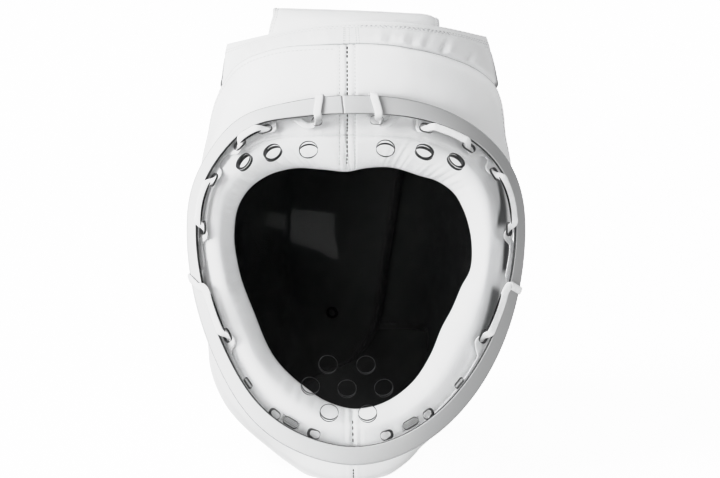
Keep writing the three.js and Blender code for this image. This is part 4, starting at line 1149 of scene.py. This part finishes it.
def lace_route():
    """Angle, place along the band, lift off the flange, and the way the flat side faces."""
    route = []

    def put(angle, out, lift, roll):
        route.append(dict(angle=angle, out=out, lift=lift, roll=roll))

    def under(angle, roll):
        put(angle, -5.2, UNDER, roll)

    def hidden(angle, roll):
        put(angle, HIDDEN, UNDER, roll)

    def through(angle, roll, out=IN_SLOT):
        put(angle, out, THROUGH, roll)

    def on(angle, roll):
        put(angle, -3.2, ON + LACE_LIFT * steepness(angle), roll + LACE_TURN * steepness(angle))

    def run(start, end, roll):
        rise(start, roll)
        dive(end, roll)

    def rise(angle, roll):
        hidden(angle - 5.5, roll)
        under(angle - 2.4, roll)
        through(angle, roll)
        on(angle + 2.4, roll)
        on(angle + 4.5, roll)

    def dive(angle, roll):
        on(angle - 4.5, roll)
        on(angle - 2.4, roll)
        through(angle, roll)
        under(angle + 2.4, roll)
        hidden(angle + 5.5, roll)

    wrap = rows(
        "turn beyond out lift roll", (0, 0, -1.3, OVER - 0.8, 45), (0.08, 0, 1.2, OVER + 0.15, 0),
        (0.5, 0, HOOP["width"] / 2, OVER + 0.15, 0), (0.92, 0, HOOP["width"] - 1.2, OVER + 0.15, 0),
        (1, 0, HOOP["width"] + 1.2, OVER - 0.8, -45), (1, 0.3, OUTSIDE, HOOP["thickness"] / 2, -90),
        (1, 0.7, HOOP["width"] + 0.9, -2.4, -135), (1, 2, HOOP["width"] - 3, UNDER - 0.4, -180),
        (1, 4, HIDDEN, UNDER, -180), (1, 6.5, HIDDEN, UNDER, -180))

    def cross(inner, outer, roll, sense):
        for row in wrap[::sense]:
            put(inner + (outer - inner) * row["turn"] + sense * row["beyond"], row["out"], row["lift"],
                roll + row["roll"])

    def over_out(inner, outer, roll):
        cross(inner, outer, roll, 1)

    def over_in(outer, inner, roll):
        cross(inner, outer, roll, -1)

    rise(-40, 90)
    on(-26, 90)
    on(-22.5, 90)
    over_out(-20, -20.6, 90)
    run(0, 21.6, -90)
    run(36, 55, -90)
    hidden(69, -90)
    under(73.4, -90)
    under(75.8, -90)
    through(78.4, -180, IN_TOP_SLOT)
    over_out(78.8, 82.3, -270)
    over_in(105.4, 108.6, -270)
    through(109.4, -180, IN_TOP_SLOT)
    under(113, -90)
    under(115.6, -90)
    hidden(120, -90)
    run(132.5, 144, -90)
    run(161, 179.5, -90)
    over_in(196.3, 200.6, 90)
    on(203, 90)
    dive(219.5, 90)
    return route


def lace_loops(step=1.1, sides=20):
    route = lace_route()
    route.append(dict(route[0], angle=route[0]["angle"] + 360))
    place = np.array([on_band(math.radians(q["angle"]), q["out"], q["lift"]) for q in route])
    way = lengths(place)
    table = [dict(q, way=w) for q, w in zip(route, way)]
    at = np.linspace(0, way[-1], round(way[-1] / step), endpoint=False)

    def where(distance, lift=0.0, out=0.0):
        state = lookup(table, "way", distance)
        return on_band(np.radians(state["angle"]), state["out"] + out, state["lift"] + lift), state
    here, state = where(at)
    tangent = unit(where(np.minimum(at + 0.4, way[-1]))[0] - where(np.maximum(at - 0.4, 0))[0])
    off = where(at, lift=1.0)[0] - here
    out = where(at, out=1.0)[0] - here
    roll = np.radians(state["roll"])[:, None]
    facing = out * np.cos(roll) + off * np.sin(roll)
    facing = unit(facing - tangent * (facing * tangent).sum(-1, keepdims=True))
    across = np.cross(tangent, facing)
    phase = round_angles(sides)
    flat = np.sign(np.cos(phase)) * np.abs(np.cos(phase)) ** 0.8 * LACE["width"] / 2
    high = np.sign(np.sin(phase)) * np.abs(np.sin(phase)) ** 0.9 * LACE["thickness"] / 2
    loops = here[:, None] + across[:, None] * flat[None, :, None] + facing[:, None] * high[None, :, None]
    uv = pair(*np.broadcast_arrays(at[:, None] / 2.0, (phase / math.tau * 6)[None, :]))
    return loops, uv.reshape(-1, 2)


lace_points, lace_uv = lace_loops()
lace = loft("visor_lace", lace_points, cotton, closed=True, uv=lace_uv)
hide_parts("lace")

# painted shadow: a thin black strand lies along the lace's inner edge where it runs on the flange, for the
# shadow gap beside the lace
LACE_SHADOW_LINES = rows("start end out lift", (134, 143.5, -7.0, 2.2), (162, 178.5, -7.6, 2.6), (204, 218, -7.4, 2.0),
             (-38, -24, -7.2, 2.0), (2, 20, -7.4, 2.6))


def strand(path, radius):
    """The sections of a strand along a path, thinner towards its ends."""
    tangent = unit(np.gradient(path, axis=0))
    sideways = unit(np.cross(tangent, [0, 1, 0]))
    upwards = np.cross(sideways, tangent)
    phase = round_angles(12)[:, None]
    ring = sideways[:, None] * np.cos(phase) + upwards[:, None] * np.sin(phase)
    thickness = radius * np.sin(np.linspace(0.02, math.pi - 0.02, len(path))) ** 0.4
    return path[:, None] + ring * thickness[:, None, None]


lace_shadow_paths = [on_band(np.radians(np.linspace(row["start"], row["end"], 60)), row["out"], row["lift"])
              for row in LACE_SHADOW_LINES]
skins("lace_painted_shadow", [strand(line, 0.7) for line in lace_shadow_paths], black_thread_and_painted_shadow)

# painted shade: thin grey strands lie along the hoop's outer edge and along the crown edge, as the shade
# lines at these edges
round_hoop = BUTT + np.linspace(0.01, math.tau - 0.01, 420)
hoop_edge_line = on_band(round_hoop, HOOP["width"] + 0.05, HOOP_SEAT + HOOP["thickness"] - 0.25)
skins("hoop_rim_painted_shade", [strand(hoop_edge_line, 0.4)], painted_shade_and_grey_stitches)
CROWN_SPAN = np.radians([43, 136])
crown = (theta > CROWN_SPAN[0]) & (theta < CROWN_SPAN[1])
widest = np.hypot(shell_loops[..., 0], shell_loops[..., 2] - AXIS_Z).argmax(axis=1)
rim_line = shell_loops[np.arange(len(theta)), widest][crown]
skins("crown_rim_painted_shade", [strand(rim_line + [0, 0.2, 0.1], 0.45)], painted_shade_and_grey_stitches)

# piping closes the seam between the collar and the padded edge
PIPING = dict(outwards=0.6, down=2.3, radius=2.2, overlap=30)
piping = outer[:, COLLAR_STEPS] - inward * PIPING["outwards"] - UP * PIPING["down"]
piping = np.concatenate([piping, piping[:PIPING["overlap"]]])
skins("crown_piping", [strand(piping, PIPING["radius"])], leather)

# ---------------------------------------------------------------- eyelet and stitching


def eyelet_line():
    around = math.acos(-EYELET["x"] / lookup(LEVELS, "z", EYELET["z"])["left"])
    start = SEAM_DEPTH - WINGS["behind"]

    def surface(turned, raised):
        return hood_surface("left", around + turned, EYELET["z"] + raised, start)
    forwards = surface(-0.01, 0) - surface(0.01, 0)
    up = surface(0, 1) - surface(0, -1)
    return surface(0, 0), frame_of(forwards, np.cross(up, forwards))


eyelet_place, eyelet_axes = eyelet_line()
seat = LEFT_DEPTH + WING_END_WALL + LINING_GAP + LINING + 2 * GAP
top = seat + EYELET["lip"]
foot = LEFT_DEPTH + 0.6
hole, barrel, rim = EYELET["hole"], EYELET["barrel"], EYELET["rim"]
profile = [(hole, foot), (barrel, foot), (barrel, seat - 0.1), (barrel + 0.2, seat), (rim - 0.3, seat),
           (rim - 0.05, seat + 0.12), (rim, seat + 0.35), (rim - 0.15, top - 0.2), (rim - 0.6, top),
           (hole + 0.9, top + 0.05), (hole + 0.3, top - 0.15), (hole + 0.05, top - 0.6), (hole, top - 1.2)]
eyelet_loops = np.stack([
    np.array([eyelet_place + eyelet_axes[2] * h
              + r * (math.cos(a) * eyelet_axes[0] + math.sin(a) * eyelet_axes[1]) for r, h in profile])
    for a in round_angles(48)])
eyelet = loft("black_vent_eyelet", eyelet_loops, eyelet_metal, closed=True)
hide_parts("vent_eyelet")

CAPSULE = rows("along size", (-1, 0.35), (-0.7, 0.85), (0, 1), (0.7, 0.85), (1, 0.35))


def sew(path, outward, spacing=3.1, length=2.3, width=0.75, height=0.6, trim=0.0):
    """Stitches along a path on a surface, each as rings of points."""
    way = lengths(path)
    at = np.arange(trim + spacing / 2, way[-1] - trim - length / 2, spacing)
    centre = at_lengths(path, way, at)
    tangent = unit(at_lengths(path, way, at + 0.3) - at_lengths(path, way, at - 0.3))
    normal = at_lengths(outward, way, at)
    normal = unit(normal - tangent * (normal * tangent).sum(-1, keepdims=True))
    across = np.cross(normal, tangent)
    phase = round_angles(6)
    rings = []
    for row in CAPSULE:
        middle = centre + tangent * (row["along"] * length / 2) + normal * (0.12 - 0.22 * row["along"] ** 2)
        sideways = across[:, None] * (np.cos(phase) * row["size"] * width / 2)[None, :, None]
        upwards = normal[:, None] * (np.sin(phase) * row["size"] * height / 2)[None, :, None]
        rings.append(middle[:, None] + sideways + upwards)
    return np.stack(rings, axis=1)


def stitching(name, lines, material):
    return skins(name, np.concatenate(lines), material)


def margin(grid, edge, distance, inwards=False):
    """A line on a grid of points at a distance from one of its edges, with its normals."""
    g = {"start": grid, "end": grid[::-1], "bottom": grid.transpose(1, 0, 2),
         "top": grid.transpose(1, 0, 2)[::-1]}[edge]
    outward = grid_normals(g, False, False)
    facing = (outward * (g - HOOD_MIDDLE)).sum(-1, keepdims=True)
    outward = np.where((facing < 0) != inwards, -outward, outward)
    way = lengths(g)
    k = np.clip((way < distance).sum(0), 1, len(way) - 1)
    column = np.arange(g.shape[1])
    near, far = (k - 1, column), (k, column)
    share = ((distance - way[near]) / (way[far] - way[near]))[:, None]
    return mix(g[near], g[far], share), unit(mix(outward[near], outward[far], share))


def margin_rows(grids, edges, distance, inwards=False, **size):
    return [sew(*margin(grid, edge, distance, inwards), **size) for grid in grids for edge in edges]


def seam_line(offset, up, first, last):
    """A line on the shell beside its centre seam, from one section place to another."""
    near = np.sin(theta) > 0.9 if up else np.sin(theta) < -0.9
    found = []
    for j in range(round(first * PER_SPAN), round(last * PER_SPAN), 1 if last > first else -1):
        p = shell_loops[near, j]
        away = p[:, 0] - lookup(SEAM_LINE, "z", p[:, 2])["x"] - offset
        order = np.argsort(away)
        values = np.concatenate([p, normals[near, j]], axis=1)[order]
        found.append([np.interp(0, away[order], values[:, k]) for k in range(6)])
    found = np.array(found)
    return found[:, :3], unit(found[:, 3:])


def part_of(line, start, end):
    """The part of a line between two distances from its start."""
    path, outward = line
    way = lengths(path)
    at = np.linspace(start, min(end, way[-1]), 80)
    return at_lengths(path, way, at), at_lengths(outward, way, at)


def hem_line(distance, start, end):
    """A line on the collar below its hem, between two shares of its stations."""
    path = np.array([at_lengths(column, lengths(column), distance) for column in outer[:, ::-1]])
    stations = slice(int(start * len(path)), int(end * len(path)))
    return path[stations], -inward[stations]


top_seam = seam_line(0, True, 8.1, 1.5)
dark = [sew(*part_of(top_seam, 0, 11), width=1.15, height=0.7),
        sew(*part_of(top_seam, 11, 90), width=0.85),
        sew(*part_of(seam_line(0, False, 1.8, 4.6), 4, 60), width=0.7, length=2.6, spacing=4.4),
        sew(*part_of(seam_line(0, False, 5.6, 8.4), 0, 60), width=0.7)]
stitching("seam_stitches_dark", dark, black_thread_and_painted_shadow)
beside = [sew(*seam_line(offset, True, 8.0, 1.7), spacing=2.7, length=1.9, width=0.65, height=0.5)
          for offset in (-5.3, 5.3)]
SIDE_LINE = 67  # point of the shell's section along which its sides are sewn
sides = [sew(shell_loops[part, SIDE_LINE], normals[part, SIDE_LINE], width=0.7, height=0.5)
         for part in (slice(40, 0, -1), slice(130, 245))]
stitching("shell_stitches", beside + sides, white_thread)

hem_rows = [sew(*hem_line(distance, 0, 1), spacing=3.0, length=2.2, width=0.65, height=0.45)
            for distance in (4.0, 6.0)]
COLUMNS = rows("x end", (-8.8, 26), (-7.4, 26), (-4.8, 26), (-0.7, 26), (0.7, 26), (90.6, 11), (88.6, 11))
columns = []
for row in COLUMNS:
    station = np.argmin(np.abs(outer[:COLLAR_STATIONS, -1, 0] - row["x"]))
    down = outer[station, ::-1]
    line = part_of((down, 0 * down - inward[station]), 5.2, row["end"])
    columns.append(sew(*line, spacing=2.3, length=1.6, width=0.6, height=0.45))
stitching("collar_stitches", hem_rows + columns, white_thread)
dark_hem = sew(*hem_line(4.9, 0.255, 0.405), spacing=3.4, length=2.0, width=0.55, height=0.4)
stitching("collar_stitches_dark", [dark_hem], painted_shade_and_grey_stitches)

# painted shade: grey strands under the lower window slots stand for the lace lying there in shade
RIBS = rows("start end", (248.6, 254), (283, 288.4))


def rib(start, end, out):
    angle = np.radians(np.linspace(start, end, 60))
    path = on_band(angle, out, -3.3)
    return sew(path, on_band(angle, out, -2.3) - path, spacing=1.0, length=1.5, width=0.7, height=0.6)


window_ribs = [rib(**row, out=out) for row in RIBS for out in (-0.6, -1.8, -3.0, -4.2)]
stitching("window_ribs", window_ribs, lace_grey_painted_shade)

flap_rows = []
for edges, distance in ((["start"], 2.9), (["start"], 4.9), (["end", "bottom", "top"], 3.6)):
    flap_rows += margin_rows([flap_panel.outer], edges, distance, spacing=2.9, length=2.1, width=0.6,
                             height=0.45, trim=3)
stitching("flap_stitches", flap_rows, white_thread)

WIDE = dict(width=0.7, height=0.5, trim=5)
wing_rows = margin_rows([left_panel.outer, right_panel.outer], ["start", "end", "bottom"], 5.5, **WIDE)
wing_rows += margin_rows([band_panel.outer], ["start", "end", "bottom", "top"], 5.0, **WIDE)
stitching("wing_stitches", wing_rows, white_thread)
inside_rows = margin_rows([left_panel.far, right_panel.far], ["end", "bottom"], 5.5, inwards=True, **WIDE)
stitching("lining_stitches", inside_rows, black_thread_and_painted_shadow)

# ---------------------------------------------------------------- light, floor and camera

# Places and sizes in metres, powers in watts. The powers of left and top_left follow from a scratch
# script's fit to the photo's brightness, and the others were set by hand.
SOFTBOXES = rows(
    "name x y z size tall power seen",
    ("left", -2.9, -1.2, 0.8, 1.2, 1.2, 70, False), ("top_left", -1.9, -0.6, 2.3, 1.2, 1.2, 42, False),
    ("front_right", 1.5, -2.6, 0.2, 0.9, 0.9, 24, False), ("top", 0.2, -1.6, 2.7, 1.2, 1.2, 9, False),
    ("inner_left", -2.4, -1.9, 0.7, 0.9, 0.9, 37, False), ("ring", -0.7, -2.8, 0, 0.9, 0.9, 12, False),
    ("window", -1.25, -2.3, 0.6, 1.5, 1.0, 7, True), ("window_side", -2.9, -2.0, 0.65, 1.0, 0.6, 1.6, True),
    ("back_left", -1.6, 2.6, 2.0, 1.4, 1.4, 45, False), ("back_right", 1.5, 2.8, 1.7, 1.4, 1.4, 40, False))
AMBIENT = 0.3
FLOOR_GLOW = 2.0
FLOOR_BOUNCE = 0.9
BACKDROP = 3.0
FLOOR_CLEARANCE = 0.0002  # metres
# scene brightness against shown brightness: highlights roll off softly, as on a bright print
ROLL_OFF = rows(
    "light shown", (0, 0), (0.45, 0.45), (0.6, 0.59), (0.72, 0.69), (0.85, 0.77), (1.05, 0.825),
    (1.4, 0.86), (2.0, 0.95), (3.0, 1.0))


def by_way(tree, seen, diffuse, mirrored):
    """Mixes shaders so that a surface looks different directly, to soft light and in mirrors."""
    path = tree.nodes.new("ShaderNodeLightPath")
    shader = seen
    for depth, other in (("Glossy Depth", mirrored), ("Diffuse Depth", diffuse)):
        past = tree.nodes.new("ShaderNodeMath")
        past.operation = "GREATER_THAN"
        past.inputs[1].default_value = 0.5
        tree.links.new(path.outputs[depth], past.inputs[0])
        mixer = tree.nodes.new("ShaderNodeMixShader")
        tree.links.new(past.outputs[0], mixer.inputs["Fac"])
        tree.links.new(shader.outputs[0], mixer.inputs[1])
        tree.links.new(other.outputs[0], mixer.inputs[2])
        shader = mixer
    return shader.outputs[0]


def background(tree, strength):
    made = tree.nodes.new("ShaderNodeBackground")
    made.inputs["Color"].default_value = (1, 1, 1, 1)
    made.inputs["Strength"].default_value = strength
    return made


def studio():
    floor = bpy.data.meshes.new("floor")
    half = 9.0
    corners = [(-half, -half, 0), (half, -half, 0), (half, half, 0), (-half, half, 0)]
    floor.from_pydata(corners, [], [(0, 1, 2, 3)])
    n = Nodes("pale_floor")
    tone = n.blend(n.noise(3, 2), (0.50, 0.50, 0.50), (0.52, 0.52, 0.52))
    n.finish(Base_Color=tone, Roughness=0.9, Emission_Color=(1, 1, 1, 1), Emission_Strength=FLOOR_GLOW,
             Specular_IOR_Level=0.0)
    plain = n.node("Emission", {"Strength": FLOOR_BOUNCE})
    black = n.node("BsdfDiffuse", {"Color": (0, 0, 0, 1)})
    n.link(by_way(n.tree, n.shader, plain, black), n.output.inputs["Surface"])
    n.material.cycles.emission_sampling = "NONE"
    floor.materials.append(n.material)
    plane = bpy.data.objects.new("studio_floor", floor)
    plane.location.z = -FLOOR_CLEARANCE
    bpy.context.scene.collection.objects.link(plane)

    def softbox(name, x, y, z, size, tall, power, seen):
        data = bpy.data.lights.new(name, "AREA")
        data.shape = "RECTANGLE"
        data.size, data.size_y = size, tall
        data.energy = power
        light = bpy.data.objects.new(name, data)
        light.location = x, y, z
        aim = Vector((0, 0, 0.15))
        light.rotation_euler = (aim - light.location).to_track_quat("-Z", "Y").to_euler()
        light.visible_camera = False
        light.visible_glossy = seen
        light.visible_transmission = seen
        bpy.context.scene.collection.objects.link(light)
        return light

    made = {}
    for row in SOFTBOXES:
        made[row["name"]] = softbox(**row)
    # the hoop and the inside are lit from the left only, and the face ring has its own light
    shaded = (hoop, shell_lining, left_inside, right_inside, band_lining, eyelet)
    for light, state, pieces in (("front_right", "EXCLUDE", shaded), ("top", "EXCLUDE", shaded),
                                 ("inner_left", "INCLUDE", shaded), ("ring", "INCLUDE", (shell,))):
        receivers = bpy.data.collections.new("receivers_of_" + light)
        for number, piece in enumerate(pieces):
            receivers.objects.link(piece)
            receivers.collection_objects[number].light_linking.link_state = state
        made[light].light_linking.receiver_collection = receivers
    world = bpy.data.worlds.new("studio")
    bpy.context.scene.world = world
    world.use_nodes = True
    world.cycles.sampling_method = "NONE"
    tree = world.node_tree
    tree.nodes.clear()
    output = tree.nodes.new("ShaderNodeOutputWorld")
    mixed = by_way(tree, background(tree, BACKDROP), background(tree, AMBIENT), background(tree, 0.01))
    tree.links.new(mixed, output.inputs["Surface"])


def roll_off():
    view = bpy.context.scene.view_settings
    view.view_transform = "Standard"
    view.use_curve_mapping = True
    mapping = view.curve_mapping
    white = ROLL_OFF[-1]["light"]
    mapping.white_level = (white, white, white)
    points = mapping.curves[3].points
    for row in ROLL_OFF[1:-1]:
        points.new(row["light"] / white, row["shown"])
    mapping.update()


LENS = 132.35
AIM = 2.7, 0, 27.2  # a point of the face frame
CAMERA_DISTANCE = 1.8  # metres


def camera():
    data = bpy.data.cameras.new("camera")
    data.sensor_width = 36
    data.lens = LENS
    eye = bpy.data.objects.new("camera", data)
    target = to_world(AIM)[0]
    back = np.array([0, -math.cos(LEAN), math.sin(LEAN)])
    up = np.array([0, math.sin(LEAN), math.cos(LEAN)])
    place = target + CAMERA_DISTANCE * back
    right = np.cross(up, back)
    columns = np.stack([right, up, back, place], axis=1)
    eye.matrix_world = Matrix([*columns.tolist(), [0, 0, 0, 1]])
    bpy.context.scene.collection.objects.link(eye)
    bpy.context.scene.camera = eye


studio()
roll_off()
camera()
